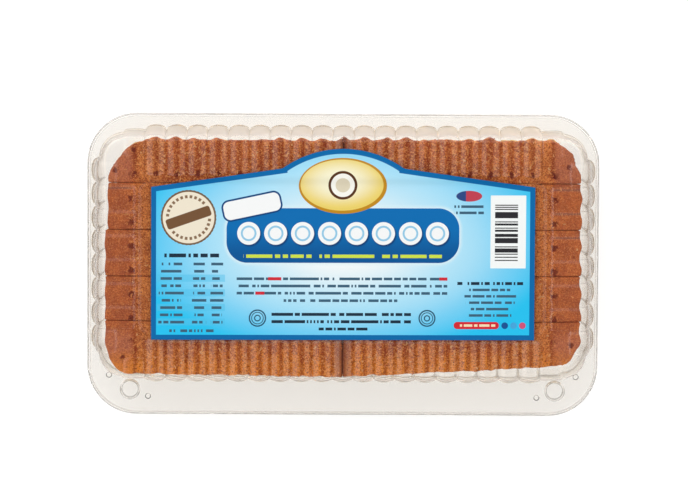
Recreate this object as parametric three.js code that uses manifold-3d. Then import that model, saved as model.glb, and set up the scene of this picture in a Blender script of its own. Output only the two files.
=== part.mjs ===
// A sliced coconut sponge cake in a shut, clear, fluted pack with a printed label on the lid.
// Millimetres. +X is to the right of the label, +Y to the back, +Z up, the tray stands on z = 0.
import * as THREE from "three";
import { mergeVertices } from "three/addons/utils/BufferGeometryUtils.js";
import Module from "manifold-3d";

const wasm = await Module();
wasm.setup();

// The formed sheet, and the flange that the lid and the tray share
const SHEET = 0.6;
const GAP = 0.3;
const FLANGE_LENGTH = 256;
const FLANGE_DEPTH = 151.6;
const FLANGE_CORNER = 25;
const FLANGE_TOP = 23;
const RIM_ROUND = 0.5;
const RIM_SEGMENTS = 8;
const SKIRT_DROP = 2.4;

// The fluted body, measured over the crests of the flutes where they meet the flange
const BODY_HALF_X = 125.6;
const BODY_HALF_Y = 64.3;
const BODY_SHIFT = 5.4;
const BODY_CORNER = 16.4;
const LONG_FLUTES = 21;
const SHORT_FLUTES = 8;
const LONG_END_BUMP = 0.8;
const CORNER_STEPS = 4;

// One flute across its pitch: how far along it a point lies, and how far it stands out
const FLUTE_STEPS = [
  { part: 0, bump: 0 },
  { part: 0.16, bump: 0.72 },
  { part: 0.5, bump: 1 },
  { part: 0.84, bump: 0.72 },
];

// How far the flutes run on over the top of the lid, and their rounded inner ends
const FULL_REACH = 23.6;
const SHORT_REACH = 14.4;
const CORNER_REACH = 12.4;
const END_LENGTH = 3.6;
const END_ROUND = 2.6;

// Levels of the lid's wall above its flange: inset and rise of the crest, how the valleys sink,
// and how much deeper the plain corners lie
const CREST_RISE = 20.5;
const PANEL_RISE = 19.3;
const LID_FOOT = { inset: 0, rise: 0, depth: 3, lean: 0, recess: 1.2 };
const LID_WALL = { inset: 2.2, rise: 16.4, depth: 1.1, lean: 20, recess: 0.9 };
const LID_SHOULDER = { inset: 3.8, rise: 19.2, depth: 1.1, lean: 50, recess: 0.3 };
const LID_TOP = { inset: 6.8, rise: CREST_RISE, depth: CREST_RISE - PANEL_RISE, lean: 90, recess: 0 };

// Levels of the tray's wall above its floor
const TRAY_FOOT = { inset: 5.4, rise: 0, depth: 0.6, lean: 0, recess: 0.4 };
const TRAY_WALL = { inset: 4, rise: 1.8, depth: 0.9, lean: 0, recess: 0.5 };
const TRAY_MOUTH = { inset: 0.5, rise: FLANGE_TOP, depth: 2.2, lean: 0, recess: 1 };
const TRAY_EDGE = SHEET + 0.5;

// Snap buttons on the wide front of the flange, each with two small pips beside it
const BUTTON_X = 106.5;
const BUTTON_Y = -63;
const BUTTON_RADIUS = 5.4;
const BUTTON_HEIGHT = 2.6;
const BUTTON_SIDES = 16;
const PIP_RADIUS = 1.8;
const PIP_HEIGHT = 1.1;
const PIP_OFFSETS = [
  { out: -9, back: -3.6 },
  { out: 10.6, back: 7 },
];

// The label lies on the panel, a fifth of a degree askew, and climbs over the flute ends under its arch
const LABEL_HALF = 95;
const LABEL_FRONT = -35.5;
const LABEL_SIDE_Y = 40.9;
const LABEL_FOOT_X = 30.2;
const LABEL_FOOT_Y = 50.3;
const LABEL_ARCH_Y = 60.1;
const LABEL_SKEW = 0.0035;
const LABEL_THICK = 0.25;
const LABEL_GAP = 0.15;
const LABEL_RISE_FROM = 41.7;
const LABEL_RISE_TO = 45.9;
const LABEL_ROWS = [0, 0.82, 0.86, 0.9, 0.95, 1];
const LABEL_SLOPE_STEPS = 4;
const LABEL_ARCH_STEPS = 10;

// The cake: two columns of five slices, with each cut's place at the pack's end and at its middle
const CAKE_FLOOR = 0.8;
const CAKE_HEIGHT = 39.8;
const CAKE_HALF_X = 118.6;
const COLUMN_GAP = 2.4;
const SLICE_GAP = 0.7;
const SLICE_BEVEL = 1.2;
const ROWS = 5;
const BACK_CORNER = 19.5;
const FRONT_CORNER = 14;
const CORNER_CUT = 0.46;
const CORNER_CURVE_STEPS = 4;
const CAKE_MIDDLE_Y = 5;
const BASE_SHARE_X = 0.965;
const BASE_SHARE_Y = 0.925;
const CUTS_LEFT = {
  outer: [64.2, 42.4, 19, -4.4, -26.6, -53.3],
  inner: [63.8, 41.4, 18.2, -5.2, -28.6, -54.9],
};
const CUTS_RIGHT = {
  outer: [64.5, 42.8, 19.6, -3.6, -26.4, -48.4],
  inner: [64.3, 41.8, 18.6, -4.6, -28.4, -54.9],
};

// Coconut shreds that stick to the top of every slice
const SHREDS = 8;
const SHRED_LENGTH = 7;
const SHRED_WIDTH = 1.5;
const SHRED_THICK = 1;
const SHRED_PROUD = 0.6;
const SHRED_MARGIN = 0.12;
const SHRED_LANES = [0.34, 0.66];
const SHRED_SEED = 4127;

const LABEL_COLOR = 0x5ec2ea;
const SHEET_COLOR = 0xeeeae2;
const CRUST_COLOR = 0xa5603b;

// Seeded random numbers between 0 and 1
function seeded(seed) {
  let state = seed;
  return () => {
    state = (Math.imul(state, 1664525) + 1013904223) >>> 0;
    return state / 4294967296;
  };
}

// A closed skin put together from loops of points that run counter-clockwise seen from above
class Skin {
  constructor() {
    this.points = [];
    this.faces = [];
  }

  loop(points) {
    const start = this.points.length;
    this.points.push(...points);
    return points.map((point, index) => start + index);
  }

  quad(a, b, c, d) {
    this.faces.push([a, b, c]);
    this.faces.push([a, c, d]);
  }

  // Band between two loops with the same number of points
  band(from, to) {
    from.forEach((corner, index) => {
      const next = (index + 1) % from.length;
      this.quad(corner, from[next], to[next], to[index]);
    });
  }

  // Flat ring between an outline and a hole, or a flat cap where there is no hole
  flat(outline, hole, facing) {
    const plane = (ids) => ids.map((id) => new THREE.Vector2(this.points[id].x, this.points[id].y));
    const ids = outline.concat(hole);
    const holes = hole.length > 0 ? [plane(hole)] : [];
    THREE.ShapeUtils.triangulateShape(plane(outline), holes).forEach((face) => {
      const corners = face.map((index) => ids[index]);
      const area = THREE.ShapeUtils.area(plane(corners));
      this.faces.push(area * facing > 0 ? corners : corners.reverse());
    });
  }

  geometry() {
    const geometry = new THREE.BufferGeometry().setFromPoints(this.points);
    geometry.setIndex(this.faces.flat());
    return geometry;
  }
}

// Closed solid from a geometry whose faces may all point in or all point out
function solidFrom(geometry) {
  const bare = new THREE.BufferGeometry();
  bare.setAttribute("position", geometry.getAttribute("position").clone());
  if (geometry.index) {
    bare.setIndex(geometry.index.clone());
  }
  const merged = mergeVertices(bare, 1e-4);
  const position = merged.getAttribute("position");
  const index = merged.index.array;
  const corner = (id) => new THREE.Vector3().fromBufferAttribute(position, id);
  const triangles = [];
  let volume = 0;
  for (let i = 0; i < index.length; i += 3) {
    const [a, b, c] = [index[i], index[i + 1], index[i + 2]];
    if (a !== b && b !== c && c !== a) {
      triangles.push([a, b, c]);
      volume += corner(a).dot(corner(b).cross(corner(c)));
    }
  }
  const outward = triangles.map(([a, b, c]) => (volume > 0 ? [a, b, c] : [a, c, b]));
  const mesh = new wasm.Mesh({
    numProp: 3,
    vertProperties: new Float32Array(position.array),
    triVerts: new Uint32Array(outward.flat()),
  });
  return new wasm.Manifold(mesh);
}

function geometryFrom(solid) {
  const mesh = solid.getMesh();
  const geometry = new THREE.BufferGeometry();
  geometry.setAttribute("position", new THREE.BufferAttribute(new Float32Array(mesh.vertProperties), 3));
  geometry.setIndex(new THREE.BufferAttribute(new Uint32Array(mesh.triVerts), 1));
  geometry.computeVertexNormals();
  return geometry;
}

// Points along one side: each one knows where it lies for any inset from the crest line
function sidePoints({ normal, half, run, flutes, endBump }) {
  const [nx, ny] = normal;
  const pitch = (2 * run) / flutes;
  const isEnd = (flute) => flute <= 0 || flute >= flutes - 1;
  const reachOf = (flute) => (isEnd(flute) ? SHORT_REACH : FULL_REACH);
  const place = (along) => (inset) => {
    const out = half - inset;
    return [nx * out - ny * along, ny * out + nx * along + BODY_SHIFT];
  };
  const points = [];
  for (let flute = 0; flute < flutes; flute += 1) {
    FLUTE_STEPS.forEach(({ part, bump }) => {
      const valleyReach = Math.max(reachOf(flute - 1), reachOf(flute));
      points.push({
        at: place((flute + part) * pitch - run),
        bump: isEnd(flute) ? bump * endBump : bump,
        plain: 0,
        reach: part === 0 ? valleyReach : reachOf(flute),
      });
    });
  }
  points.push({ at: place(run), bump: 0, plain: 0, reach: SHORT_REACH });
  return points;
}

// Points round the plain corner that follows a side
function cornerPoints(turn) {
  const middle = (turn + 0.5) * (Math.PI / 2);
  const centerX = Math.sign(Math.cos(middle)) * (BODY_HALF_X - BODY_CORNER);
  const centerY = Math.sign(Math.sin(middle)) * (BODY_HALF_Y - BODY_CORNER) + BODY_SHIFT;
  const points = [];
  for (let step = 1; step < CORNER_STEPS; step += 1) {
    const angle = (turn + step / CORNER_STEPS) * (Math.PI / 2);
    const at = (inset) => {
      const radius = BODY_CORNER - inset;
      return [centerX + radius * Math.cos(angle), centerY + radius * Math.sin(angle)];
    };
    points.push({ at, bump: 0, plain: 1, reach: CORNER_REACH });
  }
  return points;
}

function flutePoints() {
  const shortRun = BODY_HALF_Y - BODY_CORNER;
  const longRun = BODY_HALF_X - BODY_CORNER;
  const short = { half: BODY_HALF_X, run: shortRun, flutes: SHORT_FLUTES, endBump: 1 };
  const long = { half: BODY_HALF_Y, run: longRun, flutes: LONG_FLUTES, endBump: LONG_END_BUMP };
  const sides = [
    { normal: [1, 0], ...short },
    { normal: [0, 1], ...long },
    { normal: [-1, 0], ...short },
    { normal: [0, -1], ...long },
  ];
  return sides.flatMap((side, turn) => [...sidePoints(side), ...cornerPoints(turn)]);
}

const FLUTED = flutePoints();

// Loop at one level of a wall; further in and lower down it is the inside of the sheet
function wallLoop({ inset, rise, depth, lean, recess }, further = 0, lower = 0) {
  const slope = THREE.MathUtils.degToRad(lean);
  return FLUTED.map(({ at, bump, plain }) => {
    const sink = depth * (1 - bump) + recess * plain;
    const [x, y] = at(inset + further + sink * Math.cos(slope));
    return new THREE.Vector3(x, y, rise - lower - sink * Math.sin(slope));
  });
}

// Loop where the flutes start to fall to the panel, and loop where they have met it
function endCrestLoop(lower) {
  return FLUTED.map(({ at, bump, reach }) => {
    const [x, y] = at(reach - END_LENGTH);
    return new THREE.Vector3(x, y, THREE.MathUtils.lerp(PANEL_RISE, CREST_RISE, bump) - lower);
  });
}

function endFootLoop(lower) {
  return FLUTED.map(({ at, bump, reach }) => {
    const [x, y] = at(reach - END_ROUND * (1 - bump));
    return new THREE.Vector3(x, y, PANEL_RISE - lower);
  });
}

// Rounded rectangle for the flange's outline
function rimLoop(inset, z) {
  const radius = FLANGE_CORNER - inset;
  const loop = [];
  for (let turn = 0; turn < 4; turn += 1) {
    const middle = (turn + 0.5) * (Math.PI / 2);
    const centerX = Math.sign(Math.cos(middle)) * (FLANGE_LENGTH / 2 - FLANGE_CORNER);
    const centerY = Math.sign(Math.sin(middle)) * (FLANGE_DEPTH / 2 - FLANGE_CORNER);
    for (let step = 0; step <= RIM_SEGMENTS; step += 1) {
      const angle = (turn + step / RIM_SEGMENTS) * (Math.PI / 2);
      loop.push(new THREE.Vector3(centerX + radius * Math.cos(angle), centerY + radius * Math.sin(angle), z));
    }
  }
  return loop;
}

// Low round boss with a softened top edge
function boss({ x, y }, radius, bottom, top) {
  const profile = [
    new THREE.Vector2(0, bottom),
    new THREE.Vector2(radius, bottom),
    new THREE.Vector2(radius * 0.92, THREE.MathUtils.lerp(bottom, top, 0.75)),
    new THREE.Vector2(radius * 0.78, top),
    new THREE.Vector2(0, top),
  ];
  const geometry = new THREE.LatheGeometry(profile, BUTTON_SIDES);
  geometry.rotateX(Math.PI / 2);
  geometry.translate(x, y, 0);
  return solidFrom(geometry);
}

function buttonSpots() {
  return [-1, 1].map((side) => ({ x: side * BUTTON_X, y: BUTTON_Y }));
}

function pipSpots() {
  return [-1, 1].flatMap((side) =>
    PIP_OFFSETS.map(({ out, back }) => ({ x: side * (BUTTON_X + out), y: BUTTON_Y + back })),
  );
}

// Lid: skirt, flange, fluted wall, shoulder, flute ends and panel, first outside and then inside
function lidGeometry() {
  const skin = new Skin();
  const skirtLow = skin.loop(rimLoop(0, -SKIRT_DROP));
  const skirtHigh = skin.loop(rimLoop(0, -RIM_ROUND));
  const rim = skin.loop(rimLoop(RIM_ROUND, 0));
  const foot = skin.loop(wallLoop(LID_FOOT));
  const wall = skin.loop(wallLoop(LID_WALL));
  const shoulder = skin.loop(wallLoop(LID_SHOULDER));
  const top = skin.loop(wallLoop(LID_TOP));
  const endCrest = skin.loop(endCrestLoop(0));
  const endFoot = skin.loop(endFootLoop(0));
  skin.band(skirtLow, skirtHigh);
  skin.band(skirtHigh, rim);
  skin.flat(rim, foot, 1);
  skin.band(foot, wall);
  skin.band(wall, shoulder);
  skin.band(shoulder, top);
  skin.band(top, endCrest);
  skin.band(endCrest, endFoot);
  skin.flat(endFoot, [], 1);

  const innerEndFoot = skin.loop(endFootLoop(SHEET));
  const innerEndCrest = skin.loop(endCrestLoop(SHEET));
  const innerTop = skin.loop(wallLoop(LID_TOP, SHEET / 3, SHEET));
  const innerShoulder = skin.loop(wallLoop(LID_SHOULDER, SHEET * 0.75, SHEET * 0.7));
  const innerWall = skin.loop(wallLoop(LID_WALL, SHEET, SHEET / 3));
  const innerFoot = skin.loop(wallLoop(LID_FOOT, SHEET, SHEET));
  const innerRim = skin.loop(rimLoop(SHEET, -SHEET));
  const innerSkirt = skin.loop(rimLoop(SHEET, -SKIRT_DROP));
  skin.flat(innerEndFoot, [], -1);
  skin.band(innerEndFoot, innerEndCrest);
  skin.band(innerEndCrest, innerTop);
  skin.band(innerTop, innerShoulder);
  skin.band(innerShoulder, innerWall);
  skin.band(innerWall, innerFoot);
  skin.flat(innerRim, innerFoot, -1);
  skin.band(innerRim, innerSkirt);
  skin.band(innerSkirt, skirtLow);

  let lid = solidFrom(skin.geometry());
  pipSpots().forEach((spot) => {
    lid = lid.add(boss(spot, PIP_RADIUS, -SHEET / 2, PIP_HEIGHT));
  });
  buttonSpots().forEach((spot) => {
    lid = lid.add(boss(spot, BUTTON_RADIUS, -SHEET / 2, BUTTON_HEIGHT));
    lid = lid.subtract(boss(spot, BUTTON_RADIUS - SHEET, -SHEET - GAP, BUTTON_HEIGHT - SHEET));
  });
  return geometryFrom(lid);
}

// Tray: floor, fluted wall and flange with its plugs for the buttons, outside and then inside
function trayGeometry() {
  const skin = new Skin();
  const underside = FLANGE_TOP - SHEET;
  const foot = skin.loop(wallLoop(TRAY_FOOT));
  const wall = skin.loop(wallLoop(TRAY_WALL));
  const mouth = skin.loop(wallLoop(TRAY_MOUTH, 0, SHEET));
  const rimLow = skin.loop(rimLoop(TRAY_EDGE, underside));
  const rimHigh = skin.loop(rimLoop(TRAY_EDGE, FLANGE_TOP));
  skin.flat(foot, [], -1);
  skin.band(foot, wall);
  skin.band(wall, mouth);
  skin.flat(rimLow, mouth, -1);
  skin.band(rimLow, rimHigh);

  const innerMouth = skin.loop(wallLoop(TRAY_MOUTH, SHEET));
  const innerWall = skin.loop(wallLoop(TRAY_WALL, SHEET, -SHEET / 2));
  const innerFoot = skin.loop(wallLoop(TRAY_FOOT, SHEET / 2, -SHEET));
  skin.flat(rimHigh, innerMouth, 1);
  skin.band(innerMouth, innerWall);
  skin.band(innerWall, innerFoot);
  skin.flat(innerFoot, [], 1);

  const plug = BUTTON_RADIUS - SHEET - GAP;
  const plugTop = FLANGE_TOP + BUTTON_HEIGHT - SHEET / 2;
  let tray = solidFrom(skin.geometry());
  buttonSpots().forEach((spot) => {
    tray = tray.add(boss(spot, plug, FLANGE_TOP - SHEET / 2, plugTop));
    tray = tray.subtract(boss(spot, plug - SHEET, underside - GAP, plugTop - SHEET));
  });
  return geometryFrom(tray);
}

// Back edge of the label: straight slopes that climb to an arch in the middle
function labelBack(x) {
  const away = Math.abs(x);
  if (away >= LABEL_FOOT_X) {
    const part = (away - LABEL_FOOT_X) / (LABEL_HALF - LABEL_FOOT_X);
    return THREE.MathUtils.lerp(LABEL_FOOT_Y, LABEL_SIDE_Y, part);
  }
  const rise = LABEL_ARCH_Y - LABEL_FOOT_Y;
  const radius = (LABEL_FOOT_X * LABEL_FOOT_X + rise * rise) / (2 * rise);
  return LABEL_ARCH_Y - radius + Math.sqrt(radius * radius - x * x);
}

// Columns of the label's grid, closer together under the arch
function labelColumns() {
  const columns = [];
  for (let step = 0; step < LABEL_SLOPE_STEPS; step += 1) {
    columns.push(THREE.MathUtils.lerp(-LABEL_HALF, -LABEL_FOOT_X, step / LABEL_SLOPE_STEPS));
  }
  for (let step = 0; step < LABEL_ARCH_STEPS; step += 1) {
    columns.push(THREE.MathUtils.lerp(-LABEL_FOOT_X, LABEL_FOOT_X, step / LABEL_ARCH_STEPS));
  }
  for (let step = 0; step <= LABEL_SLOPE_STEPS; step += 1) {
    columns.push(THREE.MathUtils.lerp(LABEL_FOOT_X, LABEL_HALF, step / LABEL_SLOPE_STEPS));
  }
  return columns;
}

function labelGeometry() {
  const columns = labelColumns();
  const climb = (y) => {
    const part = THREE.MathUtils.smoothstep(y, LABEL_RISE_FROM, LABEL_RISE_TO);
    return part * (CREST_RISE - PANEL_RISE);
  };
  const skin = new Skin();
  const face = (thick) =>
    columns.map((x) => {
      const column = LABEL_ROWS.map((row) => {
        const y = THREE.MathUtils.lerp(LABEL_FRONT, labelBack(x), row) + LABEL_SKEW * x;
        return new THREE.Vector3(x, y, climb(y) + thick);
      });
      return skin.loop(column);
    });
  const top = face(LABEL_THICK);
  const bottom = face(0);
  const end = columns.length - 1;
  const back = LABEL_ROWS.length - 1;
  for (let i = 0; i < end; i += 1) {
    for (let j = 0; j < back; j += 1) {
      skin.quad(top[i][j], top[i + 1][j], top[i + 1][j + 1], top[i][j + 1]);
      skin.quad(bottom[i][j], bottom[i][j + 1], bottom[i + 1][j + 1], bottom[i + 1][j]);
    }
    skin.quad(bottom[i][0], bottom[i + 1][0], top[i + 1][0], top[i][0]);
    skin.quad(bottom[i + 1][back], bottom[i][back], top[i][back], top[i + 1][back]);
  }
  for (let j = 0; j < back; j += 1) {
    skin.quad(bottom[0][j + 1], bottom[0][j], top[0][j], top[0][j + 1]);
    skin.quad(bottom[end][j], bottom[end][j + 1], top[end][j + 1], top[end][j]);
  }
  return geometryFrom(solidFrom(skin.geometry()));
}

// Plan of a slice between its cuts, as four corners: outer front, inner front, inner back, outer back
function slicePlan(side, row, cuts) {
  const outerX = side * CAKE_HALF_X;
  const innerX = side * (COLUMN_GAP / 2);
  const backTrim = row === 0 ? 0 : SLICE_GAP / 2;
  const frontTrim = row === ROWS - 1 ? 0 : SLICE_GAP / 2;
  return [
    { x: outerX, y: cuts.outer[row + 1] + frontTrim, round: row === ROWS - 1 ? FRONT_CORNER : 0 },
    { x: innerX, y: cuts.inner[row + 1] + frontTrim, round: 0 },
    { x: innerX, y: cuts.inner[row] - backTrim, round: 0 },
    { x: outerX, y: cuts.outer[row] - backTrim, round: row === 0 ? BACK_CORNER : 0 },
  ];
}

// Outline with straight cuts; the cake's own corner is rounded where the slice has one
function sliceShape(corners) {
  const shape = new THREE.Shape();
  const spots = corners.map(({ x, y }) => new THREE.Vector2(x, y));
  corners.forEach(({ round }, index) => {
    const spot = spots[index];
    const before = spots[(index + 3) % 4];
    const after = spots[(index + 1) % 4];
    const enter = spot.clone().lerp(before, round / spot.distanceTo(before));
    const leave = spot.clone().lerp(after, round / spot.distanceTo(after));
    if (index === 0) {
      shape.moveTo(enter.x, enter.y);
    } else {
      shape.lineTo(enter.x, enter.y);
    }
    if (round > 0) {
      const bend = spot.clone().lerp(enter.clone().lerp(leave, 0.5), CORNER_CUT);
      shape.quadraticCurveTo(bend.x, bend.y, leave.x, leave.y);
    }
  });
  shape.closePath();
  return shape;
}

// A shred lies flat on the crust, part sunk into it, in one of two lanes along the slice
function shredSolid(corners, index, random) {
  const [outerFront, innerFront, innerBack, outerBack] = corners.map(({ x, y }) => new THREE.Vector2(x, y));
  const along = (index + 0.75 - 0.5 * random()) / SHREDS;
  const part = THREE.MathUtils.lerp(SHRED_MARGIN, 1 - SHRED_MARGIN, along);
  const lane = SHRED_LANES[index % 2] + 0.2 * (random() - 0.5);
  const spot = outerBack.lerp(innerBack, part).lerp(outerFront.lerp(innerFront, part), lane);
  const length = SHRED_LENGTH * (0.75 + 0.5 * random());
  const strip = new THREE.BoxGeometry(length, SHRED_WIDTH, SHRED_THICK);
  strip.rotateZ(Math.PI * random());
  strip.translate(spot.x, spot.y, CAKE_HEIGHT + SHRED_PROUD - SHRED_THICK / 2);
  return solidFrom(strip);
}

// The tin's sides lean out, so the cake is narrower at its base; middle is the cake's own, seen from the slice
function narrowBase(geometry, middle) {
  const position = geometry.getAttribute("position");
  for (let index = 0; index < position.count; index += 1) {
    const up = Math.min(1, position.getZ(index) / CAKE_HEIGHT);
    const shareX = THREE.MathUtils.lerp(BASE_SHARE_X, 1, up);
    const shareY = THREE.MathUtils.lerp(BASE_SHARE_Y, 1, up);
    position.setX(index, middle.x + (position.getX(index) - middle.x) * shareX);
    position.setY(index, middle.y + (position.getY(index) - middle.y) * shareY);
  }
}

// One slice about its own middle: a bevelled block with its shreds
function sliceGeometry(corners, isLeft, middle, random) {
  const outline = isLeft ? corners : corners.slice().reverse();
  const block = new THREE.ExtrudeGeometry(sliceShape(outline), {
    depth: CAKE_HEIGHT - 2 * SLICE_BEVEL,
    bevelThickness: SLICE_BEVEL,
    bevelSize: SLICE_BEVEL,
    bevelOffset: -SLICE_BEVEL,
    bevelSegments: 1,
    curveSegments: CORNER_CURVE_STEPS,
  });
  block.translate(0, 0, SLICE_BEVEL);
  narrowBase(block, middle);
  let slice = solidFrom(block);
  for (let index = 0; index < SHREDS; index += 1) {
    slice = slice.add(shredSolid(corners, index, random));
  }
  return geometryFrom(slice);
}

function namedMesh(name, geometry, material) {
  const mesh = new THREE.Mesh(geometry, material);
  mesh.name = name;
  return mesh;
}

// A column of slices, each placed at the middle of its plan
function sliceColumn(side, cuts, material, random) {
  const column = new THREE.Group();
  const word = side < 0 ? "left" : "right";
  for (let row = 0; row < ROWS; row += 1) {
    const corners = slicePlan(side, row, cuts);
    const middleX = corners.reduce((sum, { x }) => sum + x / 4, 0);
    const middleY = corners.reduce((sum, { y }) => sum + y / 4, 0);
    const centred = corners.map(({ x, y, round }) => ({ x: x - middleX, y: y - middleY, round }));
    const middle = { x: -middleX, y: CAKE_MIDDLE_Y - middleY };
    const geometry = sliceGeometry(centred, side < 0, middle, random);
    const slice = namedMesh(`slice_${word}_${row + 1}`, geometry, material);
    slice.position.set(middleX, middleY, 0);
    column.add(slice);
  }
  return column;
}

const sheetMaterial = new THREE.MeshStandardMaterial({
  color: SHEET_COLOR,
  roughness: 0.15,
  transparent: true,
  opacity: 0.35,
});
const labelMaterial = new THREE.MeshStandardMaterial({ color: LABEL_COLOR, roughness: 0.4 });
const cakeMaterial = new THREE.MeshStandardMaterial({ color: CRUST_COLOR, roughness: 0.85 });

const pack = new THREE.Group();
pack.name = "coconut_cake";
pack.add(namedMesh("tray", trayGeometry(), sheetMaterial));

// The lid stands on the tray's flange and carries the label on its panel
const cover = new THREE.Group();
cover.position.z = FLANGE_TOP + GAP + SHEET;
cover.add(namedMesh("lid", lidGeometry(), sheetMaterial));
const label = namedMesh("label", labelGeometry(), labelMaterial);
label.position.z = PANEL_RISE + LABEL_GAP;
cover.add(label);
pack.add(cover);

const cake = new THREE.Group();
const random = seeded(SHRED_SEED);
cake.position.z = CAKE_FLOOR;
cake.add(sliceColumn(-1, CUTS_LEFT, cakeMaterial, random));
cake.add(sliceColumn(1, CUTS_RIGHT, cakeMaterial, random));
pack.add(cake);

export default pack;
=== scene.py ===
# %% [markdown]
# # A packed coconut cake
# The object is a sponge cake topped with coconut, cut into ten slices, in a clear fluted pack that is
# shut. A printed label lies on the lid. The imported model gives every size, so it is loaded first, and its
# box is kept: what is built here may refine the shapes but not make the object bigger.

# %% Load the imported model
import math
import bpy
import numpy as np
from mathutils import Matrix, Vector
from mathutils.geometry import delaunay_2d_cdt


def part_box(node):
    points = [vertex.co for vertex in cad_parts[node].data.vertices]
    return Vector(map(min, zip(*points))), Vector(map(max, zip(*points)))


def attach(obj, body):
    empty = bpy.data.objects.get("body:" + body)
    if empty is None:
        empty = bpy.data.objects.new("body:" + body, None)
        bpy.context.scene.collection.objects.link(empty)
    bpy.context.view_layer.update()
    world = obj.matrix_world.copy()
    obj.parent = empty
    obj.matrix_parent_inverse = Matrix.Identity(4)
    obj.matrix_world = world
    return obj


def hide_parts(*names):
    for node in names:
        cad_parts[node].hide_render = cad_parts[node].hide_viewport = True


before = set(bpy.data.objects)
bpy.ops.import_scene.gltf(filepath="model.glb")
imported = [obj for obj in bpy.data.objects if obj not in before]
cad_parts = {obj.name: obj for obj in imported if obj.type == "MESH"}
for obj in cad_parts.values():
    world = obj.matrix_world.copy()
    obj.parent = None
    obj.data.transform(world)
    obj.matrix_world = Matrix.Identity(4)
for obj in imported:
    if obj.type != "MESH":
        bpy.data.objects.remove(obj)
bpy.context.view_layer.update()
MM = 0.001
print("nodes:", ", ".join(sorted(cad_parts)))

# %% [markdown]
# ## Node trees written as sums
# Materials and Geometry Nodes trees are long chains of small nodes. Wiring each one by hand hides the idea,
# so a Wire stands for one socket and takes part in ordinary Python expressions: every operator adds a Math
# node. Nodes.add makes any other node from its type, its settings and its sockets.

# %% Wires and nodes
def adds(operation, turned=False):
    """A method of Wire that adds one Math node; turned puts the wire last, as in 1 - wire."""
    def method(wire, *others):
        return wire.math(operation, *((*others, wire) if turned else (wire, *others)))
    return method


class Wire:
    """An output socket of a node, ready for Python expressions."""

    __add__ = __radd__ = adds("ADD")
    __mul__ = __rmul__ = adds("MULTIPLY")
    __sub__, __rsub__ = adds("SUBTRACT"), adds("SUBTRACT", turned=True)
    __truediv__, __rtruediv__ = adds("DIVIDE"), adds("DIVIDE", turned=True)
    __gt__, __lt__, __abs__ = adds("GREATER_THAN"), adds("LESS_THAN"), adds("ABSOLUTE")
    root, cosine, whole, part = adds("SQRT"), adds("COSINE"), adds("FLOOR"), adds("FRACT")
    least, most = adds("MINIMUM"), adds("MAXIMUM")

    def __init__(self, nodes, socket):
        self.nodes = nodes
        self.socket = socket

    def __neg__(self):
        return self * -1

    def math(self, operation, *values, clamp=False):
        settings = {"operation": operation, "use_clamp": clamp}
        return self.nodes.add("ShaderNodeMath", settings, dict(enumerate(values)))

    def ramp(self, low, high):
        """0 at low, 1 at high, with soft ends."""
        settings = {"interpolation_type": "SMOOTHSTEP"}
        sockets = {"Value": self, "From Min": low, "From Max": high}
        return self.nodes.add("ShaderNodeMapRange", settings, sockets)


class Nodes:
    """Adds nodes to one tree and hands their outputs back as wires."""

    def __init__(self, tree):
        self.tree = tree

    def add(self, kind, settings=None, sockets=None, out=0):
        node = self.tree.nodes.new(kind)
        for name, value in (settings or {}).items():
            setattr(node, name, value)
        for name, value in (sockets or {}).items():
            inlet = node.inputs[name]
            if isinstance(value, Wire):
                self.tree.links.new(value.socket, inlet)
            else:
                inlet.default_value = value
        return Wire(self, node.outputs[out]) if node.outputs else node

    def axes(self, vector):
        """The X, Y and Z of a vector, each as a wire."""
        split = self.add("ShaderNodeSeparateXYZ", sockets={0: vector})
        return [Wire(self, socket) for socket in split.socket.node.outputs]


def srgb(red, green, blue):
    """A colour given as screen values from 0 to 255, as the light values that shaders work in."""
    light = []
    for value in (red / 255, green / 255, blue / 255):
        light.append(value / 12.92 if value <= 0.04045 else ((value + 0.055) / 1.055) ** 2.4)
    return (*light, 1.0)


print("a mid grey on screen is this much light:", round(srgb(128, 128, 128)[0], 3))

# %% Materials
def new_material(name):
    """An empty node material and its nodes."""
    material = bpy.data.materials.new(name)
    material.use_nodes = True
    material.node_tree.nodes.clear()
    return material, Nodes(material.node_tree)


def set_surface(nodes, shader):
    nodes.add("ShaderNodeOutputMaterial", sockets={"Surface": shader})


def set_principled(nodes, sockets):
    set_surface(nodes, nodes.add("ShaderNodeBsdfPrincipled", sockets=sockets))


def bumped(nodes, strength, distance, height):
    sockets = {"Strength": strength, "Distance": distance * MM, "Height": height}
    return nodes.add("ShaderNodeBump", sockets=sockets)


def layered(nodes, tone, layers):
    """Colours laid on a ground one after another, each where its share is 1."""
    for colour, share in layers:
        over = colour if isinstance(colour, Wire) else srgb(*colour)
        sockets = {0: share, 6: tone, 7: over}
        tone = nodes.add("ShaderNodeMix", {"data_type": "RGBA"}, sockets, out=2)
    return tone


def mix_shader(nodes, share, first, second):
    return nodes.add("ShaderNodeMixShader", sockets={0: share, 1: first, 2: second})


print("material helpers ready")

# %% Geometry trees and pieces
def new_geometry_tree(name, numbers, **others):
    """A Geometry Nodes tree with named inputs, most of them numbers: its nodes and a wire for each input."""
    tree = bpy.data.node_groups.new(name, "GeometryNodeTree")
    kinds = {"Geometry": "Geometry"} | dict.fromkeys(numbers, "Float") | others | {"Material": "Material"}
    for label, kind in kinds.items():
        tree.interface.new_socket(label, in_out="INPUT", socket_type=f"NodeSocket{kind}")
    tree.interface.new_socket("Geometry", in_out="OUTPUT", socket_type="NodeSocketGeometry")
    nodes = Nodes(tree)
    entry = tree.nodes.new("NodeGroupInput")
    return nodes, {socket.name: Wire(nodes, socket) for socket in entry.outputs if socket.name}


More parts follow.
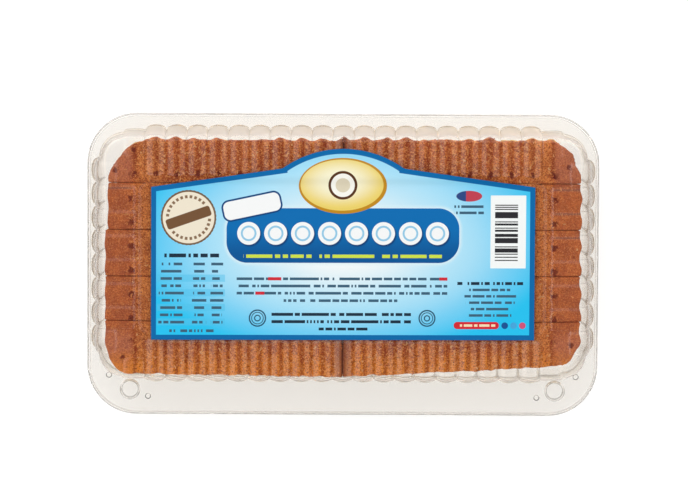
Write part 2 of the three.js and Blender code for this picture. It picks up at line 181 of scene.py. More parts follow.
def end_geometry_tree(nodes, geometry, material):
    """Every tree here ends the same way: real geometry, smooth shading, its material."""
    real = nodes.add("GeometryNodeRealizeInstances", sockets={"Geometry": geometry})
    smooth = nodes.add("GeometryNodeSetShadeSmooth", sockets={"Geometry": real})
    dressed = nodes.add("GeometryNodeSetMaterial", sockets={"Geometry": smooth, "Material": material})
    nodes.add("NodeGroupOutput", sockets={"Geometry": dressed})


def moved(nodes, given, vector, amount):
    """The tree's geometry with every point moved along a vector by an amount."""
    scaled = {"Vector": vector, "Scale": amount}
    offset = nodes.add("ShaderNodeVectorMath", {"operation": "SCALE"}, scaled)
    return nodes.add("GeometryNodeSetPosition", sockets={"Geometry": given["Geometry"], "Offset": offset})


def grow(piece, nodes, values):
    """Runs a tree on a piece, after its other modifiers, and keeps the outcome as its plain mesh."""
    modifier = piece.modifiers.new(nodes.tree.name, "NODES")
    modifier.node_group = nodes.tree
    for item in nodes.tree.interface.items_tree:
        if item.in_out == "INPUT" and item.name in values:
            modifier[item.identifier] = values[item.name]
    depsgraph = bpy.context.evaluated_depsgraph_get()
    evaluated = piece.evaluated_get(depsgraph)
    grown = bpy.data.meshes.new_from_object(evaluated, preserve_all_data_layers=True, depsgraph=depsgraph)
    piece.modifiers.clear()
    raw = piece.data
    piece.data = grown
    bpy.data.meshes.remove(raw)
    grown.name = piece.name


def new_piece(name, points, faces):
    mesh = bpy.data.meshes.new(name)
    mesh.from_pydata(points, [], faces)
    piece = bpy.data.objects.new(name, mesh)
    bpy.context.scene.collection.objects.link(piece)
    return piece


def triangles(*pieces):
    return sum(len(polygon.vertices) - 2 for piece in pieces for polygon in piece.data.polygons)


print("geometry helpers ready")

# %% [markdown]
# ## Camera
# The pack was photographed from almost straight above, from a few degrees to its back, with a long lens:
# the two ends of the flange look nearly the same length. A pixel of the photograph covers about half a
# millimetre of the flange, and that sets the lens once the distance is chosen. The picture is turned by a
# third of a degree.

# %% Place the camera
IMAGE_WIDTH = 688
PIXEL = 0.5007 * MM
DISTANCE = 2.7
TILT = math.radians(5.8)
ROLL = math.radians(0.3)
SENSOR = 36.0
AIM = Vector((0.5 * MM, 12.3 * MM, 23.9 * MM))
camera_data = bpy.data.cameras.new("camera")
camera_data.sensor_width = SENSOR
camera_data.lens = SENSOR * DISTANCE / (IMAGE_WIDTH * PIXEL)
camera = bpy.data.objects.new("camera", camera_data)
camera.rotation_euler = (-TILT, 0, ROLL)
camera.location = AIM + DISTANCE * (camera.rotation_euler.to_matrix() @ Vector((0, 0, 1)))
bpy.context.scene.collection.objects.link(camera)
bpy.context.scene.camera = camera
print("lens in mm:", round(camera_data.lens, 1))

# %% [markdown]
# ## Light and floor
# The photograph has a white ground and hardly a shadow, as on a light table under lit panels. Straight above
# and low at both ends the room is dark, so the lid is free of haze there and the joints of its flutes turn
# into thin dark lines. Each flute mirrors the panels on its flanks. A soft box overhead does most of the
# lighting; it is hidden from mirror rays, or the level parts of the lid would show nothing but the box.

# %% Sky
SKY_DARK = 0.1
SKY_LEFT = 0.8
SKY_RIGHT = 0.6
SKY_BACK = 0.5
SKY_HORIZON = 0.45
SKY_TINT = (1, 0.99, 0.97, 1)
SOFT_NEAR, SOFT_FAR = 0.14, 0.2
world = bpy.data.worlds.new("studio")
world.use_nodes = True
world.node_tree.nodes.clear()
sky = Nodes(world.node_tree)
to_right, to_back, up = sky.axes(sky.add("ShaderNodeTexCoord", out="Generated"))


def sky_panel(toward, near, far):
    """A lit band of the sky: how far towards one side it starts and ends, straight above being 0."""
    return toward.ramp(near, near + SOFT_NEAR) * (1 - toward.ramp(far, far + SOFT_FAR))


panels = SKY_LEFT * sky_panel(-to_right, 0.08, 0.45) + SKY_RIGHT * sky_panel(to_right, 0.12, 0.55)
panels = panels + SKY_BACK * sky_panel(to_back, 0.2, 0.65)
horizon = SKY_HORIZON * abs(to_back).ramp(0.35, 0.8) * (1 - up.ramp(0.1, 0.6))
glow = SKY_DARK + panels + horizon
background = sky.add("ShaderNodeBackground", sockets={"Color": SKY_TINT, "Strength": glow})
sky.add("ShaderNodeOutputWorld", sockets={"Surface": background})
bpy.context.scene.world = world
print("sky from", SKY_DARK, "to", SKY_DARK + SKY_LEFT)

# %% Soft box
LAMP_PLACE = Vector((-0.2, 0.5, 1.5))
LAMP_SIZE = 1.4
LAMP_ENERGY = 11.5
lamp = bpy.data.lights.new("soft_box", "AREA")
lamp.shape = "SQUARE"
lamp.size = LAMP_SIZE
lamp.energy = LAMP_ENERGY
soft_box = bpy.data.objects.new("soft_box", lamp)
soft_box.location = LAMP_PLACE
soft_box.rotation_euler = (-LAMP_PLACE).to_track_quat("-Z", "Y").to_euler()
soft_box.visible_glossy = False
soft_box.visible_transmission = False
bpy.context.scene.collection.objects.link(soft_box)
print("soft box of", LAMP_ENERGY, "watts")

# %% Floor
FLOOR_HALF = 2.5
FLOOR_Z = -0.2 * MM
CLEAR_BOUNCES = 40
SQUARE = [(-1, -1), (1, -1), (1, 1), (-1, 1)]
floor_points = [(FLOOR_HALF * x, FLOOR_HALF * y, FLOOR_Z) for x, y in SQUARE]
floor = new_piece("floor", floor_points, [(0, 1, 2, 3)])
floor_material, nodes = new_material("pale_floor")
paint = {"Base Color": (0.4, 0.4, 0.4, 1), "Roughness": 0.8, "Specular IOR Level": 0.1}
paint |= {"Emission Color": (1, 1, 1, 1), "Emission Strength": 0.75}
set_principled(nodes, paint)
floor.data.materials.append(floor_material)
bpy.context.scene.view_settings.view_transform = "Standard"
bpy.context.scene.cycles.transparent_max_bounces = CLEAR_BOUNCES
print("floor ready")

# %% [markdown]
# ## Sizes of the pack
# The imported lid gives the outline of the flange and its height. The wall stands inside that outline, nearer
# to the back, and carries the flutes. They reach over the top as far as the photograph shows.

# %% Sizes of the pack
SHEET = 0.4 * MM
lid_low, lid_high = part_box("lid")
SKIRT_DROP = 2.4 * MM
FLANGE_HALF = np.array([lid_high.x, lid_high.y])
FLANGE_CORNER = 25 * MM
LID_BASE = lid_low.z + SKIRT_DROP
TRAY_UNDER = 22.4 * MM
TRAY_TOP = TRAY_UNDER + SHEET
BODY_HALF = np.array([125.6, 64.3]) * MM
BODY_CORNER = 16.4 * MM
BODY_SHIFT = np.array([0, 5.4]) * MM
LONG_FLUTES = 21
SHORT_FLUTES = 8
FULL_REACH = 23.6 * MM
SHORT_REACH = 14.4 * MM
CORNER_REACH = 12.4 * MM
END_LENGTH = 3.0 * MM
CREST = LID_BASE + 20.5 * MM
PANEL = LID_BASE + 19.3 * MM
print("flange in mm:", np.round(FLANGE_HALF * 2000, 1), "lid base:", round(LID_BASE * 1000, 2))

# %% [markdown]
# ## The clear sheet
# Lid and tray are formed from one thin clear sheet with a faint warm tint. A Transparent shader would let
# light pass straight on, and the rolled rim and the flutes would hardly show. Glass bends it, so every bend
# of the sheet gets the dark and bright lines of the real one. The sloping walls are misted by the moist
# cake, the lid's back wall most and more on its left, and the rim is scuffed where it was trimmed: how far
# a point lies from an outline decides on both. Glass also blocks the lamps, so for shadow rays alone a plain
# tinted Transparent shader takes its place, and the cake under the lid is lit.

# %% Clear sheet material
def rounded_distance(across, up, corner):
    """Signed distance to a rounded corner, from how far a point is past the start of the rounding."""
    a, b = across.most(0), up.most(0)
    return (a * a + b * b).root() + across.most(up).least(0) - corner


def outline_distance(x, y, half, corner):
    """How far a point lies outside a rounded rectangle round the origin; inside it is negative."""
    return rounded_distance(abs(x) - (half[0] - corner), abs(y) - (half[1] - corner), corner)


def clear_sheet():
    material, nodes = new_material("clear_sheet")

    def tinted(kind, red, green, blue):
        return nodes.add(f"ShaderNodeBsdf{kind}", sockets={"Color": (red, green, blue, 1)})

    place = nodes.add("ShaderNodeTexCoord", out="Object")
    x, y, z = (axis / MM for axis in nodes.axes(place))
    edge = outline_distance(x, y, FLANGE_HALF / MM, FLANGE_CORNER / MM)
    pressed_line = (edge + 1.8).ramp(0, 0.2) * (1 - (edge + 1.3).ramp(0, 0.2))
    frost = edge.ramp(-0.7, -0.4) * 0.45 + pressed_line * 0.25
    behind = y - BODY_SHIFT[1] / MM
    foot = outline_distance(x, behind, BODY_HALF / MM, BODY_CORNER / MM)
    facing_up = nodes.axes(nodes.add("ShaderNodeNewGeometry", out="Normal"))[2]
    steep = 1 - abs(facing_up).ramp(0.4, 0.9)
    at_wall = steep * (foot + 7.5).ramp(0, 3) * (1 - foot.ramp(0.2, 1.0))
    long_wall = (abs(behind) - BODY_HALF[1] / MM + 12).ramp(0, 6)
    on_lid = (z - LID_BASE / MM).ramp(-1, 1)
    back_wall = long_wall * behind.ramp(-10, 10) * on_lid * (1 - 0.5 * x.ramp(10, 60))
    ripple = nodes.add("ShaderNodeTexNoise", sockets={"Vector": place, "Scale": 110.0, "Detail": 2.0})
    bent = {"Color": (0.992, 0.985, 0.974, 1), "IOR": 1.5, "Normal": bumped(nodes, 0.09, 0.6, ripple)}
    bent |= {"Roughness": 0.03 + at_wall * (0.05 + 0.18 * back_wall)}
    glass = nodes.add("ShaderNodeBsdfGlass", sockets=bent)
    dim, glow = tinted("Translucent", 0.58, 0.5, 0.44), tinted("Translucent", 1, 0.96, 0.91)
    haze, scuff = tinted("Diffuse", 0.9, 0.87, 0.84), tinted("Diffuse", 0.82, 0.8, 0.77)
    mist = mix_shader(nodes, long_wall, dim, mix_shader(nodes, back_wall * 0.55, glow, haze))
    body = mix_shader(nodes, at_wall * (0.2 + 0.18 * back_wall), glass, mist)
    body = mix_shader(nodes, frost, body, scuff)
    to_lamp = nodes.add("ShaderNodeLightPath", out="Is Shadow Ray")
    set_surface(nodes, mix_shader(nodes, to_lamp, body, tinted("Transparent", 0.965, 0.955, 0.94)))
    return material


sheet = clear_sheet()
print("material:", sheet.name)

# %% [markdown]
# ## Lid and tray, before their flutes
# Every level of the pack is a rounded rectangle, so the shells are stacks of rings that share their samples.
# The samples bunch up where two flutes meet, because the joint is sharp. Each sample knows how far along its
# side it lies, whether it is on a corner, and how far the flutes run over the top there.

# %% Samples round the pack
FLUTE_STEPS = 12
CORNER_STEPS = 16
TURN_STEPS = 48
QUARTER = math.pi / 2


def side_samples(turn):
    """One side, counter-clockwise: outward direction, pivot, place along it, long or short, flute reach."""
    is_long = turn % 2
    flutes = LONG_FLUTES if is_long else SHORT_FLUTES
    run = (BODY_HALF - BODY_CORNER)[0 if is_long else 1]
    flute, step = np.divmod(np.arange(flutes * FLUTE_STEPS + 1), FLUTE_STEPS)
    share = (flute + (1 - np.cos(np.pi * step / FLUTE_STEPS)) / 2) * 2 / flutes - 1
    ends = np.full(flutes + 2, FULL_REACH)
    ends[[0, 1, -2, -1]] = SHORT_REACH
    reach = np.maximum(ends[flute + 1], np.where(step == 0, ends[flute], 0))
    facing = np.array([round(math.cos(turn * QUARTER)), round(math.sin(turn * QUARTER))])
    pivot = facing + share[:, None] * np.array([-facing[1], facing[0]])
    size = len(step)
    return np.tile(facing, (size, 1)), pivot, share * run, np.full(size, is_long), reach


def corner_samples(turn):
    """The plain corner after a side, without the ends that it shares with its two sides."""
    angle = (turn + np.arange(1, CORNER_STEPS) / CORNER_STEPS) * QUARTER
    middle = (turn + 0.5) * QUARTER
    size = len(angle)
    facing = np.stack([np.cos(angle), np.sin(angle)], axis=1)
    pivot = np.tile(np.sign([math.cos(middle), math.sin(middle)]), (size, 1))
    return facing, pivot, np.zeros(size), np.full(size, turn % 2), np.full(size, CORNER_REACH)


runs = [samples(turn) for turn in range(4) for samples in (side_samples, corner_samples)]
FACING, PIVOT, ALONG, LONG_SIDE, REACH = (np.concatenate(columns) for columns in zip(*runs))
ON_CORNER = np.concatenate([np.full(len(run[0]), index % 2) for index, run in enumerate(runs)])
AROUND = len(ALONG)
print("samples round the pack:", AROUND)

# %% Rings
def outline(half, radius, inset, shift):
    """A rounded rectangle through all samples, drawn in by inset."""
    inset = np.broadcast_to(inset, (AROUND,))
    return PIVOT * (half - radius) + (radius - inset)[:, None] * FACING + shift


def ring(plan, z, depth=0.0, lean=90.0, past=0.0, recess=0.0):
    """A level of a shell: points, where a valley would sink to, how far a flute end is past its start."""
    slope = math.radians(lean)
    points = np.column_stack([plan, np.full(AROUND, z)])
    inward = np.column_stack([-FACING * math.cos(slope), np.full(AROUND, -math.sin(slope))])
    return points, inward * (depth + recess * ON_CORNER)[:, None], np.full(AROUND, past)


def body_ring(inset, z, depth, lean=90.0, past=0.0, recess=0.0):
    return ring(outline(BODY_HALF, BODY_CORNER, inset, BODY_SHIFT), z, depth, lean, past, recess)


def rim_ring(inset, z):
    return ring(outline(FLANGE_HALF, FLANGE_CORNER, inset, 0), z)


print("ring helpers ready")

# %% Shells
TRIANGLES_INSIDE = 1
SAME_SPOT = 1e-6


def flat_field(points, loops, facing):
    """Triangles of a level field: the first loop is its outside, the others are holes in it."""
    ids = np.concatenate(loops).tolist()
    spots = [Vector(points[number][:2]) / MM for number in ids]
    ends = np.cumsum([len(loop) for loop in loops])
    rounds = [list(range(end - len(loop), end)) for loop, end in zip(loops, ends)]
    found = delaunay_2d_cdt(spots, [], rounds, TRIANGLES_INSIDE, SAME_SPOT)
    faces, sources, owners = found[2], found[3], found[5]
    kept = [face for face, owner in zip(faces, owners) if owner == [0]]
    return [[ids[sources[corner][0]] for corner in face[::facing]] for face in kept]


def boss_faces(circles):
    """Faces of a boss that faces up; circles hold the numbers of its points."""
    pairs = zip(circles, circles[1:])
    bands = [np.stack([a, np.roll(a, -1), np.roll(b, -1), b], axis=1) for a, b in pairs]
    return np.concatenate(bands).tolist() + [circles[-1].tolist()]


def shell(name, rings, fields):
    """Rings as a shell: a cap that faces up, bands, a cap that faces down. Level fields are left open."""
    points, sink, past = (np.concatenate(columns) for columns in zip(*rings))
    here = np.arange(AROUND)
    there = (here + 1) % AROUND
    faces = [list(here)]
    for level in range(len(rings) - 1):
        low, high = level * AROUND, (level + 1) * AROUND
        if level not in fields:
            faces += np.stack([low + here, high + here, high + there, low + there], axis=1).tolist()
    faces.append(list((len(rings) - 1) * AROUND + here[::-1]))
    piece = new_piece(name, points.tolist(), faces)
    marks = {"along": ALONG, "long_side": LONG_SIDE, "on_corner": ON_CORNER}
    values = {mark: np.tile(value, len(rings)) for mark, value in marks.items()}
    for mark, value in (values | {"past": past}).items():
        layer = piece.data.attributes.new(mark, "FLOAT", "POINT")
        layer.data.foreach_set("value", value.astype(np.float32))
    layer = piece.data.attributes.new("sink", "FLOAT_VECTOR", "POINT")
    layer.data.foreach_set("vector", sink.astype(np.float32).ravel())
    return piece


def close_fields(piece, levels, fields):
    """Fills the level fields of a pressed shell, with the bosses that are formed up out of them."""
    pressed = piece.data
    points = [tuple(vertex.co) for vertex in pressed.vertices]
    faces = [list(polygon.vertices) for polygon in pressed.polygons]
    here = np.arange(AROUND)
    for level, bosses in fields.items():
        facing = 1 if level < levels / 2 else -1
        loops = [(level + 1) * AROUND + here, level * AROUND + here][::facing]
        for circles in bosses:
            numbers = len(points) + np.arange(len(circles) * TURN_STEPS).reshape(-1, TURN_STEPS)
            points += np.concatenate(circles).tolist()
            loops.append(numbers[0])
            faces += [face[::facing] for face in boss_faces(numbers)]
        faces += flat_field(points, loops, facing)
    closed = bpy.data.meshes.new(piece.name)
    closed.from_pydata(points, [], faces)
    closed.materials.append(pressed.materials[0])
    piece.data = closed
    bpy.data.meshes.remove(pressed)
    return closed


print("shell helpers ready")

# %% [markdown]
# ## Lid profile
# From the middle outwards the lid has a flat panel with a thin pressed line round it, the round ends of the
# flutes, the shoulder, the wall, and the flange with its turned-down rim. The inside repeats the profile one
# sheet further in. A curve of four control points bends the wall over into the top. The wall's foot has a
# wide fillet outside and a tight one inside: the thick bend between them draws the dark outline of every
# flute. At the front corners two round buttons with small pips beside them are formed up out of the flange;
# they snap over plugs on the tray.

# %% Buttons, pips and plugs
BOSS_WALL = 0.35
BUTTON = (106.5, -63.0)
PIPS = [(97.5, -66.6), (117.1, -56.0)]
BUTTON_PROFILE = [
    (5.4, 0), (5.3, 0.06), (5.22, 0.25), (5.18, 0.6), (5.12, 2.0), (5.02, 2.36), (4.82, 2.55), (4.4, 2.6),
]
PLUG_PROFILE = [
    (4.85, 0), (4.72, 0.06), (4.62, 0.25), (4.56, 0.6), (4.5, 1.6), (4.4, 1.95), (4.2, 2.14), (3.8, 2.2),
]
PIP_PROFILE = [(1.8, 0), (1.7, 0.04), (1.6, 0.16), (1.52, 0.34), (1.4, 0.5), (1.2, 0.6), (1.0, 0.62)]
LID_BOSSES = [(BUTTON, BUTTON_PROFILE)] + [(pip, PIP_PROFILE) for pip in PIPS]
TRAY_BOSSES = [(BUTTON, PLUG_PROFILE)]


def boss(x, y, z, profile, wall):
    """Circles of a boss from its foot to its top; on the inner face it is a wall's thickness smaller."""
    turn = np.arange(TURN_STEPS) / TURN_STEPS * 2 * math.pi
    circle = np.column_stack([np.cos(turn), np.sin(turn), np.zeros(TURN_STEPS)])
    middle = [np.array([x * MM, y * MM, z + height * MM]) for radius, height in profile]
    return [spot + (radius - wall) * MM * circle for spot, (radius, height) in zip(middle, profile)]


def both_sides(bosses, z, wall=0.0):
    return [boss(side * x, y, z, profile, wall) for side in (-1, 1) for (x, y), profile in bosses]


print("bosses on the lid:", 2 * len(LID_BOSSES), "on the tray:", 2 * len(TRAY_BOSSES))

# %% Lid rings
BORDER_HALF = np.array([100.8, 37.9]) * MM
BORDER_CORNER = 5.5 * MM
BORDER_SHIFT = BODY_SHIFT - np.array([0.3, 0.15]) * MM
BORDER_LINE = [
    (0.9, 0), (0.65, 0.03), (0.35, 0.11), (0.1, 0.14), (-0.15, 0.11), (-0.45, 0.03), (-0.7, 0),
]
FOOT_OUTSIDE = 0.9
FOOT_INSIDE = 0.3
FOOT_INSET = 0.15
SHOULDER_STEPS = 9
FOOT_STEPS = 8
END_STEPS = 9
WALL_TILT = 10
WALL_LEVELS = [13, 10, 7, 4, 2, 1.5]
TOP_SHARES = [0.7, 0.4, 0.15]
WALL_RISES = [0, 16.4, 19.2, 20.5]
WALL_DEPTH = [3.0, 1.1, 1.1, 1.2]
WALL_LEAN = [0, 20, 50, 90]
WALL_RECESS = [1.2, 0.9, 0.3, 0]
TOP_INSET = 6.8
WALL_INSET = 2.2 / 16.4
SHOULDER = np.array([(TOP_INSET, 20.5), (4.0, 20.5), (2.6, 18.2), (15.4 * WALL_INSET, 15.4)])


def lid_profile(foot):
    """Inset, rise and outward tilt of the crest line, from the flute ends to the flange."""
    rows = []
    for part in np.linspace(0, 1, SHOULDER_STEPS):
        weights = [(1 - part) ** 3, 3 * part * (1 - part) ** 2, 3 * part ** 2 * (1 - part), part ** 3]
        inset, rise = np.dot(weights, SHOULDER)
        rows.append((inset, rise, 90 - (90 - WALL_TILT) * part))
    rows += [(WALL_INSET * rise, rise, WALL_TILT) for rise in WALL_LEVELS]
    for angle in np.linspace(0, 90, FOOT_STEPS):
        turn = math.radians(angle)
        inset, rise = FOOT_INSET - foot * (1 - math.cos(turn)), foot * (1 - math.sin(turn))
        rows.append((inset, rise, max(WALL_TILT, angle)))
    return rows


def lid_wall(offset):
    """Rings of the profile, on the outside of the sheet or drawn in by its thickness."""
    rings = []
    for inset, rise, tilt in lid_profile(FOOT_INSIDE if offset else FOOT_OUTSIDE):
        tilt = math.radians(tilt)
        inset, z = inset * MM + offset * math.cos(tilt), LID_BASE + rise * MM - offset * math.sin(tilt)
        rows = (WALL_DEPTH, WALL_LEAN, WALL_RECESS)
        depth, lean, recess = (np.interp(rise, WALL_RISES, row) for row in rows)
        rings.append(body_ring(inset, z, depth * MM, lean, recess=recess * MM))
    return rings


def lid_top(offset):
    """Rings from the panel out to the shoulder."""
    line = [(inset, 0) for inset, drop in (BORDER_LINE[0], BORDER_LINE[-1])] if offset else BORDER_LINE
    rings = []
    for inset, drop in line:
        plan = outline(BORDER_HALF, BORDER_CORNER, inset * MM, BORDER_SHIFT)
        rings.append(ring(plan, PANEL - offset - drop * MM))
    for past in np.sin(np.radians(np.linspace(90, 0, END_STEPS))):
        inset = REACH - END_LENGTH * (1 - past)
        rings.append(body_ring(inset, CREST - offset, CREST - PANEL, past=past))
    for share in TOP_SHARES:
        inset = TOP_INSET * MM + share * (REACH - END_LENGTH - TOP_INSET * MM)
        rings.append(body_ring(inset, CREST - offset, CREST - PANEL))
    return rings


LID_RIM = [(1.5, 0), (1.38, -0.05), (1.25, -0.14), (1.12, -0.05), (1.0, 0), (0.7, 0), (0.5, 0)]
LID_RIM += [(0.3, -0.05), (0.12, -0.2), (0.03, -0.42), (0, -0.7), (0, -2.2), (0.1, -2.4)]
LID_RIM += [(0.35, -2.4), (0.4, -2.2), (0.4, -0.9), (0.55, -0.55), (0.8, -0.4)]
lid_rings = lid_top(0) + lid_wall(0)
lid_fields = {len(BORDER_LINE) - 1: [], len(lid_rings) - 1: both_sides(LID_BOSSES, LID_BASE)}
lid_rings += [rim_ring(inset * MM, LID_BASE + z * MM) for inset, z in LID_RIM]
lid_fields[len(lid_rings) - 1] = both_sides(LID_BOSSES, LID_BASE - SHEET, BOSS_WALL)
lid_rings += lid_wall(SHEET)[::-1] + lid_top(SHEET)[::-1]
lid_fields[len(lid_rings) - 3] = []
lid = shell("clear_lid", lid_rings, lid_fields)
print("lid rings:", len(lid_rings), "triangles:", triangles(lid))

# %% [markdown]
# ## Tray profile
# The tray is the lid's counterpart: a floor, a wall that leans out to its mouth, and a flange just inside the
# lid's rim. Its inside comes first here, because a shell starts with the cap that faces up.

# %% Tray rings
TRAY_WALL = [(5.9, 0, 0.5), (5.2, 0.06, 0.6), (4.7, 0.35, 0.7), (4.3, 0.9, 0.8), (4.0, 1.8, 0.9)]
TRAY_WALL += [(3.2, 6.5, 1.2), (2.4, 11.2, 1.5), (1.6, 16, 1.8), (0.8, 20.8, 2.1), (0.55, 22, 2.2)]
TRAY_WALL += [(0.35, 22.3, 2.2), (-0.1, 22.4, 2.2)]
TRAY_TILT = ([0, 0.35, 1.8, 21, 22.4], [90, 50, 10, 10, 90])
TRAY_RECESS = ([0, 1.8, 22.4], [0.4, 0.5, 1.0])
TRAY_RIM = [(1.6, 1.0), (1.25, 0.92), (1.1, 0.67), (1.1, 0.33), (1.25, 0.08), (1.6, 0.0)]


def tray_wall(offset):
    rings = []
    for inset, rise, depth in TRAY_WALL:
        tilt = math.radians(np.interp(rise, *TRAY_TILT))
        inset, z = inset * MM + offset * math.cos(tilt), rise * MM + offset * math.sin(tilt)
        recess = np.interp(rise, *TRAY_RECESS)
        rings.append(body_ring(inset, z, depth * MM, 0, recess=recess * MM))
    return rings


tray_rings = tray_wall(SHEET)
tray_fields = {len(tray_rings) - 1: both_sides(TRAY_BOSSES, TRAY_TOP)}
tray_rings += [rim_ring(inset * MM, TRAY_UNDER + share * SHEET) for inset, share in TRAY_RIM]
tray_fields[len(tray_rings) - 1] = both_sides(TRAY_BOSSES, TRAY_UNDER, BOSS_WALL)
tray_rings += tray_wall(0)[::-1]
tray = shell("clear_tray", tray_rings, tray_fields)
print("tray rings:", len(tray_rings), "triangles:", triangles(tray))

# %% [markdown]
# ## Pressing the flutes
# Half-round flutes follow a rule: they repeat along each side, are smaller next to the corners on the long
# sides, and end round on top of the lid. A Geometry Nodes tree works out for every point how full the flute
# is there, and sinks it where it isn't full. The same tree presses the lid and the tray.

# %% Flute tree
def flute_tree():
    inputs = ["Long Flutes", "Short Flutes", "Long Run", "Short Run", "Long End Bump"]
    nodes, given = new_geometry_tree("press_flutes", inputs)

    def mark(name, kind="FLOAT"):
        return nodes.add("GeometryNodeInputNamedAttribute", {"data_type": kind}, {"Name": name})

    is_long, corner, past = mark("long_side"), mark("on_corner"), mark("past")
    flutes = is_long * given["Long Flutes"] + (1 - is_long) * given["Short Flutes"]
    run = is_long * given["Long Run"] + (1 - is_long) * given["Short Run"]
    place = (mark("along") / run + 1) * 0.5 * flutes
    across = place.part() * 2 - 1
    full = (1 - across * across - past * past).most(0).root()
    middle = abs(place - flutes * 0.5)
    at_end = is_long * (middle > flutes * 0.5 - 1)
    full = full * (1 - at_end * (1 - given["Long End Bump"])) * (1 - corner)
    pressed = moved(nodes, given, mark("sink", "FLOAT_VECTOR"), 1 - full)
    end_geometry_tree(nodes, pressed, given["Material"])
    return nodes


press = flute_tree()
print("nodes in the flute tree:", len(press.tree.nodes))

# %% Press both shells and attach them
SHARP_BEND = math.radians(50)
LEVEL = 0.99999
long_run, short_run = (float(run) for run in BODY_HALF - BODY_CORNER)
flute_values = {"Long Flutes": float(LONG_FLUTES), "Short Flutes": float(SHORT_FLUTES), "Material": sheet}
flute_values |= {"Long Run": long_run, "Short Run": short_run, "Long End Bump": 0.2}


def flatten_level_faces(mesh):
    """Level faces are shaded flat, so that bends beside them leave no streaks on the flange and panel."""
    normals = np.empty(3 * len(mesh.polygons), np.float32)
    mesh.polygons.foreach_get("normal", normals)
    mesh.polygons.foreach_set("use_smooth", np.abs(normals[2::3]) < LEVEL)


shells = ((lid, "lid", lid_rings, lid_fields), (tray, "tray", tray_rings, tray_fields))
for piece, node, rings, fields in shells:
    grow(piece, press, flute_values)
    mesh = close_fields(piece, len(rings), fields)
    mesh.set_sharp_from_angle(angle=SHARP_BEND)
    flatten_level_faces(mesh)
    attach(piece, "root")
    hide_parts(node)
    print(piece.name, "triangles:", triangles(piece))

# %% [markdown]
# ## The slices
# The cake is a slab, cut once along its middle and across into five rows. A cut is never quite straight, so
# every slice has its own four corners, and each corner of the cake is rounded in its own way. The block is
# beveled, remeshed into even small faces and then roughened by Geometry Nodes, because crumb is a rule about
# noise and not about shape. The baked sides are lumpy, the back and the two ends swell a little into the
# flutes of the lid, and the cut faces stay plain, so neighbours sit close together.

# %% Slice plans
CAKE_FLOOR = 0.8 * MM
CAKE_TOP = 40.6 * MM
CAKE_HALF_X = 118.6
CAKE_MIDDLE_Y = 5
COLUMN_GAP = 0.1
SLICE_GAP = 0.2
ROWS = 5
CORNER_POINTS = 9
PUSHED_IN = {(-1, 0): 1.3, (-1, 1): 1.2}
# Rounded corners by side and row: how far along the side, how far along the back or front, how deep.
CORNERS = {
    (-1, 0): (19.5, 19.5, 0.46), (1, 0): (20.5, 14, 0.5),
    (-1, 4): (14.5, 9, 0.44), (1, 4): (11.7, 11.7, 0.3),
}
# Cuts from the back to the front, at the outer end and at the middle of each column.
CUTS = {
    -1: ([64.2, 42.4, 19, -4.4, -26.6, -53.3], [63.8, 41.4, 18.2, -5.2, -28.6, -54.9]),
    1: ([64.5, 42.8, 19.6, -3.6, -26.4, -48.4], [64.3, 41.8, 18.6, -4.6, -28.4, -54.9]),
}


def slice_plan(side, row):
    """Outline of a slice in mm, counter-clockwise, with the cake's own corner rounded."""
    outer, inner = CUTS[side]
    back = 0 if row == 0 else SLICE_GAP / 2
    front = 0 if row == ROWS - 1 else SLICE_GAP / 2
    far, near = side * (CAKE_HALF_X - PUSHED_IN.get((side, row), 0)), side * COLUMN_GAP / 2
    corners = [(far, outer[row + 1] + front), (near, inner[row + 1] + front)]
    corners += [(near, inner[row] - back), (far, outer[row] - back)]
    on_side, on_long, cut = CORNERS.get((side, row), (0, 0, 0))
    roundings = {0: (3, on_long, on_side), ROWS - 1: (0, on_side, on_long)}
    rounded, first, second = roundings.get(row, (None, 0, 0))
    points = []
    for index in range(4):
        spot, before, after = (Vector(corners[(index + turn) % 4]) for turn in (0, 3, 1))
        if index != rounded:
            points.append(spot)
            continue
        enter = spot + (before - spot).normalized() * first
        leave = spot + (after - spot).normalized() * second
        bend = spot.lerp((enter + leave) / 2, cut)
        for part in np.linspace(0, 1, CORNER_POINTS):
            points.append(enter * (1 - part) ** 2 + bend * 2 * part * (1 - part) + leave * part ** 2)
    return points if side < 0 else points[::-1]


print("points of the first plan:", len(slice_plan(-1, 0)))

# %% Crumb tree
SWELL_DEPTH = 14 * MM
SWELL_PATCH = 14 * MM


